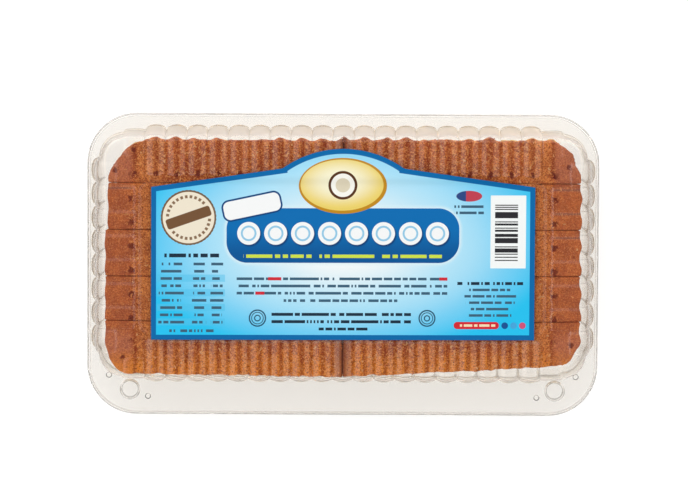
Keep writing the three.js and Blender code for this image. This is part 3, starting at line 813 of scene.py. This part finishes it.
def crumb_tree():
    inputs = ["Lump Size", "Lump Depth", "Crumb Size", "Crumb Depth", "Edge Size", "Edge Depth", "Seed"]
    inputs += ["Side", "Baked Back", "Baked Front", "Top", "Flute Pitch", "Swell"]
    inputs += ["Side Pitch", "Side Swell", "Side Middle"]
    nodes, given = new_geometry_tree("rough_crumb", inputs)
    place = nodes.add("GeometryNodeInputPosition")

    def noise(size, turn):
        sockets = {"Vector": place, "W": given["Seed"] + turn, "Scale": 1 / size, "Detail": 2.0}
        return nodes.add("ShaderNodeTexNoise", {"noise_dimensions": "4D"}, sockets)

    def facing(toward):
        return toward.ramp(0.2, 0.7)

    normal = nodes.add("GeometryNodeInputNormal")
    to_right, to_back = nodes.axes(normal)[:2]
    x, y, z = nodes.axes(place)
    back, front = facing(to_back), facing(-to_back)
    outer, inner = facing(to_right * given["Side"]), facing(-to_right * given["Side"])
    cut = inner.most(back * (1 - given["Baked Back"])).most(front * (1 - given["Baked Front"]))
    baked = back * given["Baked Back"] + front * given["Baked Front"]
    lump = (noise(given["Lump Size"], 0.0) - 0.62) * given["Lump Depth"]
    crumb = (noise(given["Crumb Size"], 5.0) - 0.62) * given["Crumb Depth"]
    ragged = (noise(given["Edge Size"], 9.0) - 0.5) * given["Edge Depth"] * baked
    high = (z - given["Top"] + SWELL_DEPTH).ramp(0, 10 * MM)
    bulge = (((x / given["Flute Pitch"] * math.tau).cosine() + 0.5) / 1.5).most(0)
    here_and_there = noise(SWELL_PATCH, 13.0).ramp(0.35, 0.6)
    swell = bulge * here_and_there * high * back * given["Baked Back"] * given["Swell"]
    wave = -((y - given["Side Middle"]) / given["Side Pitch"] * math.tau).cosine()
    swell = swell + wave * high * outer * given["Side Swell"]
    rough = moved(nodes, given, normal, (lump + crumb) * 2 * (1 - cut) + ragged + swell)
    end_geometry_tree(nodes, rough, given["Material"])
    return nodes


crumb = crumb_tree()
print("nodes in the crumb tree:", len(crumb.tree.nodes))

# %% [markdown]
# ## Crust and crumb
# The top is baked to a mottled red-brown crust with golden patches towards the front edge, the cut sides show
# yellow crumb full of small holes, and the base is a thin brown line. One material reads how high a point
# lies and blends the three, with noise to break the borders, and painted shade darkens the small holes.
# The light and shade of the lid's flutes are painted onto the crust: a painted dark line runs along the
# middle of each and painted shade under each joint, a paler painted highlight lies between them, and a
# painted dark red shadow spot sits at the inner end. At the two sides the crust is smooth under a pale
# pinkish painted haze, with painted shadow spots in the corners and painted shade under the joints, and along
# the middle cut painted shade darkens the crease between the slices.

# %% Painted light and shade under the flutes
LONG_PITCH, SHORT_PITCH = (BODY_HALF - BODY_CORNER) * 2000 / (LONG_FLUTES, SHORT_FLUTES)
PACK_MIDDLE_Y = BODY_SHIFT[1] * 1000
LONG_INNER = [sign * (BODY_HALF[1] - FULL_REACH) * 1000 + PACK_MIDDLE_Y for sign in (-1, 1)]
SIDE_INNER = (BODY_HALF[0] - FULL_REACH) * 1000
# Sizes and places of the painted shadow spots.
SIDE_SPOT = 2.6
BACK_SPOT = 2.0
CORNER_SPOT = 2.2
CORNER_SPOTS = [(-104.5, 59.0), (-113.5, 48.5), (-109.5, -45.0), (114.0, -38.2), (112.0, 51.0)]
SEEN_SHIFT = 1.7


def painted_flute_light_and_shade(x, y, wobble, speck):
    """Three masks on the crust: painted shade along the flutes, a painted highlight, painted shadow spots."""
    def blot(a, b):
        return 1 - ((a * a + b * b).root() + 1.6 * (speck - 0.5)).ramp(0.35, 0.8)

    in_middle = 1 - abs(x).ramp(104, 106)
    inner_front, inner_back = LONG_INNER
    at_front, at_back = (inner_front - y).ramp(-2, 1), (y - inner_back).ramp(-2, 1)
    under_long = (at_back + at_front) * in_middle
    across = (x / LONG_PITCH + 0.5).part() * 2 - 1
    # Painted shade: a dark line along the middle of each flute and under each joint.
    line = 1 - abs(across - 0.1 + 0.25 * (wobble - 0.5)).ramp(0.06, 0.28)
    joint = abs(across + 0.2 * (wobble - 0.5)).ramp(0.74, 0.95) * at_front
    joint = joint + abs(across).ramp(0.86, 0.95) * at_back
    # Painted highlight: a paler band beside the dark line.
    grain = (across - 0.1).ramp(0.1, 0.4) * (1 - across.ramp(0.7, 0.9))
    grain = grain + 0.6 * (0.1 - across).ramp(0.1, 0.4) * (1 - (-across).ramp(0.7, 0.9))
    # Painted shadow spots at the inner ends of the flutes and in the corners.
    past_end = (abs(x) - SIDE_INNER - 3.4) / SIDE_SPOT
    behind = y - PACK_MIDDLE_Y
    step = ((behind / SHORT_PITCH).part() - 0.44) * SHORT_PITCH / SIDE_SPOT
    side_spots = blot(past_end, step) * (1 - abs(behind).ramp(40, 44))
    along = (y - inner_back - 0.9) / SIDE_SPOT
    width = (across - 0.1) * LONG_PITCH / 2 / BACK_SPOT
    spots = (side_spots + blot(along, width) * in_middle) * wobble.ramp(0.2, 0.45)
    for spot_x, spot_y in CORNER_SPOTS:
        spots = spots.most(blot((x - spot_x) / CORNER_SPOT, (y - spot_y) / CORNER_SPOT))
    return line.most(0.8 * joint) * under_long, grain * under_long, spots


def painted_side_joint_shade(x, y):
    """Painted shade: thin dark lines under the joints of the short sides, on the left only at the back."""
    behind = y - PACK_MIDDLE_Y
    from_joint = abs(((behind + SEEN_SHIFT) / SHORT_PITCH + 0.5).part() - 0.5)
    reach = (behind - 22 * (x < 0)).ramp(3, 11) * (1 - behind.ramp(38, 40))
    return (1 - from_joint.ramp(0.015, 0.06)) * reach


print("flute pitches in mm:", round(LONG_PITCH, 2), round(SHORT_PITCH, 2))

# %% Sponge material
def sponge():
    material, nodes = new_material("sponge_cake")
    place = nodes.add("ShaderNodeTexCoord", out="Object")
    x, y, z = (axis / MM for axis in nodes.axes(place))

    def noise(size, detail=3.0):
        sockets = {"Vector": place, "Scale": 1 / (size * MM), "Detail": detail, "Roughness": 0.6}
        return nodes.add("ShaderNodeTexNoise", sockets=sockets)

    broad, patch, fine, speck = noise(26), noise(6), noise(1.5), noise(0.7, 2.0)
    pores = nodes.add("ShaderNodeTexVoronoi", sockets={"Vector": place, "Scale": 1 / (2.1 * MM)})
    # Painted shade, painted highlight and painted shadow spots from the lid's flutes.
    line, grain, spots = painted_flute_light_and_shade(x, y, patch, fine)
    front = (-y + 12 * patch).ramp(44, 56)
    at_side = abs(x).ramp(SIDE_INNER + 1, SIDE_INNER + 5)
    # Painted reflection haze in the corners.
    painted_haze_in_corner = at_side * abs(y - CAKE_MIDDLE_Y).ramp(34, 42)
    # Painted light: the crust beside the label is lightened where the label casts its shadow.
    painted_light_beside_label = abs(x).ramp(88, 92) * (1 - abs(x).ramp(SIDE_INNER - 1, SIDE_INNER + 2))
    # Painted shade along the middle cut, where the slices meet.
    shade_in_cut, shade_near_cut = 1 - abs(x).ramp(0.3, 1.2), 1 - abs(x).ramp(1.5, 6)
    crust = layered(nodes, srgb(178, 80, 34), [
        ((214, 108, 46), (0.4 * broad + 0.6 * patch).ramp(0.38, 0.58)),
        ((244, 152, 74), (patch * 0.35 + fine * 0.65).ramp(0.5, 0.66) * (0.75 - 0.45 * at_side)),
        # Painted light beside the label.
        ((240, 150, 80), painted_light_beside_label * (0.1 + 0.5 * patch)),
        # Painted haze: a pale pinkish tone at the two sides, stronger in the corners, for the lid's
        # reflection.
        ((196, 112, 76), at_side * 0.35),
        ((212, 130, 102), painted_haze_in_corner * 0.5),
        # Painted shade under the joints of the short flutes.
        ((112, 44, 18), painted_side_joint_shade(x, y) * at_side * 0.6),
        ((252, 148, 22), front * (0.4 + 0.5 * patch)),
        # Painted highlight between the flutes, then painted shade along their middles and joints.
        ((250, 176, 104), grain * fine.ramp(0.5, 0.62) * 0.6),
        ((150, 52, 8), line * (0.35 + 0.5 * fine)),
        # Painted shade in the small holes of the crust.
        ((112, 46, 18), (0.2 - pores).ramp(0.0, 0.14) * (0.65 - 0.3 * at_side)),
        ((254, 182, 108), (speck - 0.5).ramp(0.02, 0.18) * (0.6 - 0.25 * at_side)),
        ((116, 30, 0), (0.5 - speck).ramp(0.02, 0.18) * (0.7 - 0.3 * at_side)),
        # Painted shadow spots at the flute ends and in the corners.
        ((108, 16, 0), spots * 0.85),
        # Painted shade along the middle cut, in the crease between the slices.
        ((136, 72, 54), shade_near_cut * 0.6),
        ((104, 52, 36), shade_in_cut * 0.45),
    ])
    under, over = CAKE_TOP / MM - z, z - CAKE_FLOOR / MM
    tone = layered(nodes, srgb(222, 172, 84), [
        ((244, 208, 128), fine.ramp(0.35, 0.65)),
        # Painted shade in the holes of the crumb.
        ((176, 116, 48), (0.22 - pores).ramp(0.0, 0.2) * 0.7),
        (crust, 1 - (under + 3 * (patch - 0.5)).ramp(1.6, 4.2)),
        ((150, 82, 36), 1 - (over + 1.4 * (patch - 0.5)).ramp(0.8, 2.0)),
    ])
    relief = 0.4 * fine + 0.3 * speck + 0.7 * pores.ramp(0.0, 0.45)
    normal = bumped(nodes, 0.55, 0.5, relief)
    set_principled(nodes, {"Base Color": tone, "Roughness": 0.62 + 0.3 * fine, "Normal": normal})
    return material


cake_material = sponge()
print("nodes in the sponge material:", len(cake_material.node_tree.nodes))

# %% Bake the slices
VOXEL = 0.8 * MM
EDGE_ROUND = 0.6 * MM
CUT_LEAN = 1.8
CRUMB_SEED, CRUMB_SEED_STEP = 3.0, 7
BASE_SHARE = np.array([0.965, 0.925])
SIDE_SWELL = {-1: 0.25 * MM, 1: 0.6 * MM}
BACK_SWELL = {-1: 1.3 * MM, 1: 1.9 * MM}
CRUMB = {"Lump Size": 11 * MM, "Lump Depth": 0.5 * MM, "Crumb Size": 1.7 * MM, "Crumb Depth": 0.3 * MM}
CRUMB |= {"Edge Size": 4.5 * MM, "Edge Depth": 3.0 * MM, "Top": CAKE_TOP, "Material": cake_material}
CRUMB |= {"Flute Pitch": LONG_PITCH * MM, "Side Pitch": SHORT_PITCH * MM, "Side Middle": BODY_SHIFT[1]}


def slice_block(name, plan):
    """A prism over a plan, narrower at its base, its middle cut slanted, with soft edges and even faces."""
    size = len(plan)
    middle = np.array([0, CAKE_MIDDLE_Y])
    lean = [np.array([CUT_LEAN if abs(p[0]) < COLUMN_GAP else 0, 0]) for p in plan]
    low = [middle + (np.array(p) - middle) * BASE_SHARE + slant for p, slant in zip(plan, lean)]
    points = [(x * MM, y * MM, CAKE_FLOOR) for x, y in low]
    points += [(x * MM, y * MM, CAKE_TOP) for x, y in plan]
    faces = [tuple(range(size))[::-1], tuple(range(size, 2 * size))]
    faces += [(i, (i + 1) % size, size + (i + 1) % size, size + i) for i in range(size)]
    piece = new_piece(name, points, faces)
    bevel = piece.modifiers.new("soft_edges", "BEVEL")
    bevel.width = EDGE_ROUND
    bevel.segments = 3
    remesh = piece.modifiers.new("even_faces", "REMESH")
    remesh.mode = "VOXEL"
    remesh.voxel_size = VOXEL
    return piece


slices = []
for side, word in ((-1, "left"), (1, "right")):
    for row in range(ROWS):
        piece = slice_block(f"cake_slice_{word}_{row + 1}", slice_plan(side, row))
        values = {"Side": float(side), "Side Swell": SIDE_SWELL[side], "Swell": BACK_SWELL[side]}
        values |= {"Baked Back": float(row == 0), "Baked Front": float(row == ROWS - 1)}
        grow(piece, crumb, CRUMB | values | {"Seed": CRUMB_SEED + CRUMB_SEED_STEP * len(slices)})
        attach(piece, "root")
        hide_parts(f"slice_{word}_{row + 1}")
        slices.append(piece)
print("slices:", len(slices), "triangles in all:", triangles(*slices))

# %% [markdown]
# ## Coconut shreds
# Short curled shreds of coconut lie on the crust, toasted to different tones. One shred is modeled with few
# faces. Geometry Nodes scatter points on the tops, keep them off the edges, put a turned and scaled shred on
# each, and store how toasted it is, so one material can colour them all.

# %% One shred
SHRED_STATIONS = 7
SHRED_HALF = 1.75 * MM


def shred_mesh():
    """A curled strip along X with tapered ends, as a plain mesh of 26 faces."""
    points = []
    for station in range(SHRED_STATIONS):
        part = station / (SHRED_STATIONS - 1) * 2 - 1
        wide, thick = 0.42 * (1 - 0.6 * part ** 4), 0.16 * (1 - 0.4 * part ** 2)
        bend, lift = 0.35 * part ** 2, 0.1 * part ** 2 + 0.05 * math.sin(3 * part)
        for a, b in SQUARE:
            points.append((SHRED_HALF * part, (wide * a + bend) * MM, (thick * b + lift) * MM))
    faces = [(3, 2, 1, 0), tuple(range(len(points) - 4, len(points)))]
    for here in range(0, len(points) - 4, 4):
        faces += [(here + i, here + (i + 1) % 4, here + 4 + (i + 1) % 4, here + 4 + i) for i in range(4)]
    return new_piece("one_shred", points, faces)


one_shred = shred_mesh()
print("faces of a shred:", len(one_shred.data.polygons))

# %% Shred tree
SHRED_TILT = ((-0.22, -0.18, 0.0), (0.22, 0.18, 6.283))
SHRED_SCALE = ((0.22, 0.5, 0.6), (0.62, 1.1, 1.0))


def shred_tree():
    inputs = ["Spacing", "Density", "Cluster", "Top", "Moist From"]
    nodes, given = new_geometry_tree("scatter_shreds", inputs, Shred="Object", Seed="Int")
    place = nodes.add("GeometryNodeInputPosition")
    x, z = nodes.axes(place)[::2]
    up = nodes.axes(nodes.add("GeometryNodeInputNormal"))[2]
    moist = (abs(x) - given["Moist From"]).ramp(0, 3 * MM)
    on_top = (z > given["Top"]) * (up > 0.75)
    cluster = nodes.add("ShaderNodeTexNoise", sockets={"Vector": place, "Scale": 1 / given["Cluster"]})
    share = cluster.ramp(0.35, 0.62) * (1 - 0.85 * moist)
    sockets = {"Mesh": given["Geometry"], "Selection": on_top, "Distance Min": given["Spacing"]}
    sockets |= {"Density Max": given["Density"], "Seed": given["Seed"], "Density Factor": share}
    spots = nodes.add("GeometryNodeDistributePointsOnFaces", {"distribute_method": "POISSON"}, sockets)

    def random_vector(low, high, turn):
        sockets = {0: low, 1: high, "Seed": given["Seed"] + turn}
        return nodes.add("FunctionNodeRandomValue", {"data_type": "FLOAT_VECTOR"}, sockets)

    between = {2: 0.0, 3: 1.0, "Seed": given["Seed"] + 1}
    toast = nodes.add("FunctionNodeRandomValue", {"data_type": "FLOAT"}, between, out=1)
    stored = {"Geometry": spots, "Name": "toast", "Value": toast}
    settings = {"data_type": "FLOAT", "domain": "POINT"}
    spots = nodes.add("GeometryNodeStoreNamedAttribute", settings, stored)
    shred = nodes.add("GeometryNodeObjectInfo", sockets={"Object": given["Shred"]}, out="Geometry")
    sockets = {"Points": spots, "Instance": shred}
    sockets |= {"Rotation": random_vector(*SHRED_TILT, 2), "Scale": random_vector(*SHRED_SCALE, 3)}
    end_geometry_tree(nodes, nodes.add("GeometryNodeInstanceOnPoints", sockets=sockets), given["Material"])
    return nodes


scatter = shred_tree()
print("nodes in the shred tree:", len(scatter.tree.nodes))

# %% Coconut material
def coconut():
    material, nodes = new_material("toasted_coconut")
    toast = nodes.add("ShaderNodeAttribute", {"attribute_name": "toast"}, out="Fac")
    place = nodes.add("ShaderNodeTexCoord", out="Object")
    grain = nodes.add("ShaderNodeTexNoise", sockets={"Vector": place, "Scale": 900.0, "Detail": 2.0})
    tone = layered(nodes, srgb(196, 104, 52), [
        ((228, 144, 84), toast.ramp(0.1, 0.7)),
        ((244, 182, 124), toast.ramp(0.72, 1.0)),
        ((172, 86, 40), grain.ramp(0.5, 0.8) * 0.5),
    ])
    normal = bumped(nodes, 0.4, 0.2, grain)
    set_principled(nodes, {"Base Color": tone, "Roughness": 0.55 + 0.25 * grain, "Normal": normal})
    return material


coconut_material = coconut()
print("nodes in the coconut material:", len(coconut_material.node_tree.nodes))

# %% Scatter the shreds
SHRED_SEED, SHRED_SEED_STEP = 11, 17
SHREDS = {"Shred": one_shred, "Spacing": 1.2 * MM, "Density": 260000.0, "Cluster": 10 * MM}
SHREDS |= {"Top": CAKE_TOP - 0.9 * MM, "Moist From": (SIDE_INNER + 2) * MM, "Material": coconut_material}
shreds = []
for index, piece in enumerate(slices):
    top = bpy.data.objects.new(piece.name.replace("cake_slice", "coconut"), piece.data.copy())
    bpy.context.scene.collection.objects.link(top)
    grow(top, scatter, SHREDS | {"Seed": SHRED_SEED + SHRED_SEED_STEP * index})
    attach(top, "root")
    shreds.append(top)
bpy.data.objects.remove(one_shred)
print("triangles of all shreds:", triangles(*shreds))

# %% [markdown]
# ## The label
# A thin printed label lies on the panel, and its arch climbs over the flute ends at the back. Its outline is
# straight in front and at the sides, slopes up from both corners, and rises to an arch in the middle. A fine
# grid between the front edge and the back edge follows that outline, and two such grids make a thin solid.

# %% Label shape
LABEL_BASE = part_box("label")[0].z
LABEL_HALF = 95.4
LABEL_FRONT = -35.5
LABEL_SIDE_Y = 40.9
FOOT_X, FOOT_Y = 30.2, 50.3
ARCH_Y = 60.1
ARCH_RISE = ARCH_Y - FOOT_Y
ARCH_RADIUS = (FOOT_X ** 2 + ARCH_RISE ** 2) / (2 * ARCH_RISE)
LABEL_SKEW = 0.0035
LABEL_RISE = (41.7, 45.9)
LABEL_THICK = 0.25 * MM
LABEL_COLUMNS = 180
LABEL_ROWS = 72
LABEL_EDGE = math.radians(40)


def label_back(x):
    """The back edge over x, in mm."""
    away = abs(x)
    if away >= FOOT_X:
        return FOOT_Y + (LABEL_SIDE_Y - FOOT_Y) * (away - FOOT_X) / (LABEL_HALF - FOOT_X)
    return ARCH_Y - ARCH_RADIUS + math.sqrt(ARCH_RADIUS ** 2 - x ** 2)


def label_points(lift):
    points = []
    for x in np.linspace(-LABEL_HALF, LABEL_HALF, LABEL_COLUMNS + 1):
        for y in np.linspace(LABEL_FRONT, label_back(x), LABEL_ROWS + 1) + LABEL_SKEW * x:
            part = min(1, max(0, (y - LABEL_RISE[0]) / (LABEL_RISE[1] - LABEL_RISE[0])))
            climb = part * part * (3 - 2 * part) * (CREST - PANEL)
            points.append((x * MM, y * MM, LABEL_BASE + lift + climb))
    return points


def label_piece():
    size = (LABEL_COLUMNS + 1) * (LABEL_ROWS + 1)

    def spot(column, row, below=0):
        return column * (LABEL_ROWS + 1) + row + below * size

    faces = []
    for i in range(LABEL_COLUMNS):
        for j in range(LABEL_ROWS):
            quad = [(i, j), (i + 1, j), (i + 1, j + 1), (i, j + 1)]
            faces.append([spot(a, b) for a, b in quad])
            faces.append([spot(a, b, 1) for a, b in quad[::-1]])
    rim = [(i, 0) for i in range(LABEL_COLUMNS)] + [(LABEL_COLUMNS, j) for j in range(LABEL_ROWS)]
    rim += [(i, LABEL_ROWS) for i in range(LABEL_COLUMNS, 0, -1)]
    rim += [(0, j) for j in range(LABEL_ROWS, 0, -1)]
    for (a, b), (c, d) in zip(rim, rim[1:] + rim[:1]):
        faces.append([spot(a, b, 1), spot(c, d, 1), spot(c, d), spot(a, b)])
    return new_piece("printed_label", label_points(LABEL_THICK) + label_points(0), faces)


label = label_piece()
label.data.shade_smooth()
label.data.set_sharp_from_angle(angle=LABEL_EDGE)
print("label triangles:", triangles(label))

# %% [markdown]
# ## The label's print
# The print is worked out as fields of colour. A signed distance says how far a point lies outside a shape,
# so a rounded box, an ellipse or a ring each is one short expression, and its sign becomes ink. Small print
# turns into broken bars: cells of chance along a line decide where there is a gap. The inks are kept in a
# list from the ground up, as a printing press lays them on.

# %% Shapes in ink
label_print, ink = new_material("label_print")
flat_place = ink.add("ShaderNodeTexCoord", out="Object")
PRINT_Y = 1.1
across, upward = ink.axes(flat_place)[:2]
X = across * 1000
Y = upward * 1000 - LABEL_SKEW * X - PRINT_Y
SOFT = 0.12
GAPS = 0.2


def inside(distance, soft=SOFT):
    """Ink where a signed distance in mm is negative."""
    return distance.math("MULTIPLY_ADD", distance, -1 / soft, 0.5, clamp=True)


def box(x0, y0, x1, y1, corner=0.0, x=X, y=Y):
    """Signed distance to a rounded box."""
    across = abs(x - (x0 + x1) / 2) - ((x1 - x0) / 2 - corner)
    up = abs(y - (y0 + y1) / 2) - ((y1 - y0) / 2 - corner)
    return rounded_distance(across, up, corner) if corner else across.most(up)


def disc(x0, y0, radius, x=X, y=Y):
    a, b = x - x0, y - y0
    return (a * a + b * b).root() - radius


def oval(x0, y0, half_x, half_y):
    a, b = (X - x0) / half_x, (Y - y0) / half_y
    return ((a * a + b * b).root() - 1) * min(half_x, half_y)


def turned(x0, y0, angle):
    """Places round a point, in axes that are turned by an angle."""
    a, b = X - x0, Y - y0
    return a * math.cos(angle) + b * math.sin(angle), b * math.cos(angle) - a * math.sin(angle)


def chance(a, b):
    """A seeded random value for every pair of whole numbers."""
    spot = ink.add("ShaderNodeCombineXYZ", sockets={0: a, 1: b})
    return ink.add("ShaderNodeTexWhiteNoise", {"noise_dimensions": "2D"}, {"Vector": spot})


def small_print(x0, x1, first, pitch, lines, thick, seed, ragged=0.0, cell=0.85):
    """Ink for lines of broken bars between x0 and x1, the first one at height first."""
    down = (first - Y) / pitch + 0.5
    line = down.whole()
    bar = inside(abs(down.part() - 0.5) * pitch - thick / 2)
    within = inside(box(x0, first - (lines - 0.5) * pitch, x1, first + 0.5 * pitch))
    words = chance((X / cell).whole(), line + seed) > GAPS
    if ragged:
        half = (x1 - x0) / 2 * (1 - ragged * chance(line, seed + 0.5))
        within = within * inside(abs(X - (x0 + x1) / 2) - half)
    return bar * within * words


print("ink helpers ready")

# %% Label ground
# Cyan ground that pales towards the middle, and a blue border.
BORDER = 2.5
beside, behind, before = X / 95, (Y - 10).most(0) / 60, (10 - Y).most(0) / 48
glow = (beside * beside + behind * behind + before * before).root()
away = abs(X)
slope = (FOOT_Y - LABEL_SIDE_Y) / (LABEL_HALF - FOOT_X)
below_slope = (Y - (FOOT_Y - PRINT_Y) + (away - FOOT_X) * slope) / math.hypot(1, slope)
in_arch = disc(0, ARCH_Y - PRINT_Y - ARCH_RADIUS, ARCH_RADIUS)
back_edge = below_slope.least(in_arch.most(away - FOOT_X))
edge = (LABEL_FRONT - PRINT_Y - Y).most(away - LABEL_HALF).most(back_edge)
inks = [
    ((178, 231, 254), glow.ramp(0.1, 0.68)),
    ((102, 208, 250), glow.ramp(0.58, 1.0)),
    ((38, 198, 246), glow.ramp(0.92, 1.14)),
    ((0, 106, 172), 1 - inside(edge + BORDER)),
]
print("inks of the ground:", len(inks))

# %% Title panel
WHITE = (250, 252, 253)
panel = box(-57.9, 2.0, 57.8, 29.3, 10.4)
panel_blue = layered(ink, srgb(2, 110, 182), [((0, 86, 152), (20 - Y).ramp(0, 16))])
NUT_PITCH = 13.4
nut_x = ((X / NUT_PITCH).part() - 0.5) * NUT_PITCH
in_row = inside(away - 4 * NUT_PITCH)
inks += [
    ((226, 246, 253), (2.2 - panel).ramp(0.0, 2.2) * 0.7),
    (panel_blue, inside(panel)),
    ((4, 52, 104), inside(disc(0.5, 16.0, 5.9, x=nut_x), 0.9) * in_row * 0.8),
    (WHITE, inside(disc(0, 16.7, 5.7, x=nut_x)) * in_row),
    ((150, 205, 236), inside(abs(disc(0, 16.7, 3.4, x=nut_x)) - 0.5) * in_row),
    ((210, 228, 74), small_print(-49.5, 49.2, 5.3, 5.0, 1, 1.7, 3, cell=1.3)),
]
print("inks with the title panel:", len(inks))

# %% Ribbon and oval badge
TURN = math.radians(12)
ribbon_x, ribbon_y = turned(-45.3, 30.2, TURN)
ribbon = box(-14.2, -4.6, 14.2, 4.6, 3.0, x=ribbon_x, y=ribbon_y)
heart = oval(-1.5, 42.5, 19, 11)
cream = layered(ink, srgb(252, 247, 214), [((240, 214, 106), heart.ramp(-7.0, 3.0))])
nut = disc(-0.2, 40.8, 7.2)
inks += [
    ((6, 70, 128), inside(ribbon - 0.9)),
    (WHITE, inside(ribbon)),
    ((196, 140, 30), inside(oval(-0.2, 40.5, 21.9, 14.0))),
    (cream, inside(oval(-0.6, 40.9, 20.6, 12.8))),
    ((88, 52, 28), inside(nut)),
    ((253, 252, 244), inside(nut + 1.3)),
    ((226, 216, 190), inside(nut + 3.6)),
]
print("inks with the badge:", len(inks))

# %% Round stamp
STAMP = (-76.8, 24.5)
PARCHMENT = (243, 233, 212)
stamp = disc(*STAMP, 13.85)
stamp_turn = ink.add("ShaderNodeMath", {"operation": "ARCTAN2"}, {0: Y - STAMP[1], 1: X - STAMP[0]})
scallop = stamp + 0.35 * abs((stamp_turn * (22 / math.pi)).part() - 0.5)
gaps = inside((abs((stamp_turn * (14 / math.pi)).part() - 0.5) - 0.28) * 2)
band_x, band_y = turned(*STAMP, TURN * 1.6)
band = box(-11.5, -2.6, 11.5, 2.6, 1.2, x=band_x, y=band_y)
inks += [
    ((120, 92, 66), inside(scallop)),
    (PARCHMENT, inside(stamp + 1.0)),
    ((138, 110, 84), inside(abs(stamp + 3.4) - 0.75) * gaps),
    (PARCHMENT, inside(band - 0.9)),
    ((118, 84, 56), inside(band)),
]
print("inks with the stamp:", len(inks))

# %% Table and small print
INK = (28, 48, 66)
SOFT_INK = (62, 98, 122)
RED = (214, 44, 58)
RING_INK = (40, 84, 112)
STRIPE_PITCH = 7.33
stripes = inside(abs(((Y + 5.75) / STRIPE_PITCH + 0.5).part() - 0.5) * STRIPE_PITCH - 1.8)
inks += [
    ((84, 198, 240), stripes * inside(box(-92.4, -29.4, -58.6, -3.9)) * 0.55),
    (INK, small_print(-88.8, -61.6, 5.6, 5.0, 1, 1.9, 11, cell=1.2)),
]
for x0, x1, seed in ((-91.9, -78.8, 20), (-75.2, -67.7, 33), (-66.2, -59.1, 46)):
    inks.append((SOFT_INK, small_print(x0, x1, 1.33, 3.64, 9, 1.35, seed, 0.4)))
inks += [
    (SOFT_INK, small_print(-86.3, -64.2, -32.1, 4.0, 1, 1.4, 61)),
    (SOFT_INK, small_print(-52.8, 52.0, -6.0, 3.6, 3, 1.35, 70)),
    (SOFT_INK, small_print(-29.4, 28.5, -16.9, 3.6, 1, 1.35, 79)),
]
for x0, x1, y in ((-37.2, -30.6, -6.0), (48.0, 52.0, -6.0), (-43.5, -39.0, -13.2)):
    inks.append((RED, inside(box(x0, y - 0.8, x1, y + 0.8))))
inks += [
    (INK, small_print(-35.4, 34.6, -23.8, 3.65, 2, 1.5, 84)),
    (INK, small_print(-13.3, 12.4, -31.1, 3.65, 1, 1.4, 91)),
]
for x0, radius in ((-42.4, 4.0), (42.0, 3.9)):
    spot = disc(x0, -25.7, radius)
    for inward, half in ((0, 0.35), (1.1, 0.22), (2.6, 0.3)):
        inks.append((RING_INK, inside(abs(spot + inward) - half)))
print("inks with the small print:", len(inks))

# %% Bar field, side lines and pill
BAR = 0.52
leaf = oval(62.6, 35.4, 6.4, 2.7)
bars = chance((Y / BAR).whole(), 5.0) > 0.5
inks += [
    (SOFT_INK, small_print(55.2, 69.9, 30.2, 3.1, 2, 1.3, 97)),
    ((196, 66, 84), inside(leaf)),
    ((46, 74, 134), inside(leaf) * inside(X - 61)),
    ((250, 254, 254), inside(box(73.3, -0.6, 90.9, 35.8, 0.3))),
    ((44, 44, 48), bars * inside(box(75.5, 3.0, 86.9, 31.5))),
    (INK, small_print(57.0, 89.7, -8.2, 4.0, 1, 1.5, 103)),
    (SOFT_INK, small_print(58.8, 88.0, -11.4, 3.2, 5, 1.25, 109, 0.35)),
    ((216, 40, 52), inside(box(55.3, -31.05, 77.8, -27.45, 1.7))),
    ((250, 226, 190), small_print(58.4, 76.0, -29.25, 3.0, 1, 1.2, 127)),
]
for x0, colour in ((80.7, (24, 84, 150)), (85.1, (70, 170, 226)), (89.5, (214, 84, 122))):
    inks.append((colour, inside(disc(x0, -29.3, 1.65))))
print("inks in all:", len(inks))

# %% Print the label and attach it
tone = layered(ink, srgb(251, 255, 255), inks)
paper = ink.add("ShaderNodeTexNoise", sockets={"Vector": flat_place, "Scale": 70.0, "Detail": 2.0})
finish = {"Base Color": tone, "Roughness": 0.34 + 0.12 * paper, "Specular IOR Level": 0.2}
set_principled(ink, finish | {"Normal": bumped(ink, 0.06, 0.4, paper)})
label.data.materials.append(label_print)
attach(label, "root")
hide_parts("label")
print("nodes in the label's print:", len(label_print.node_tree.nodes))
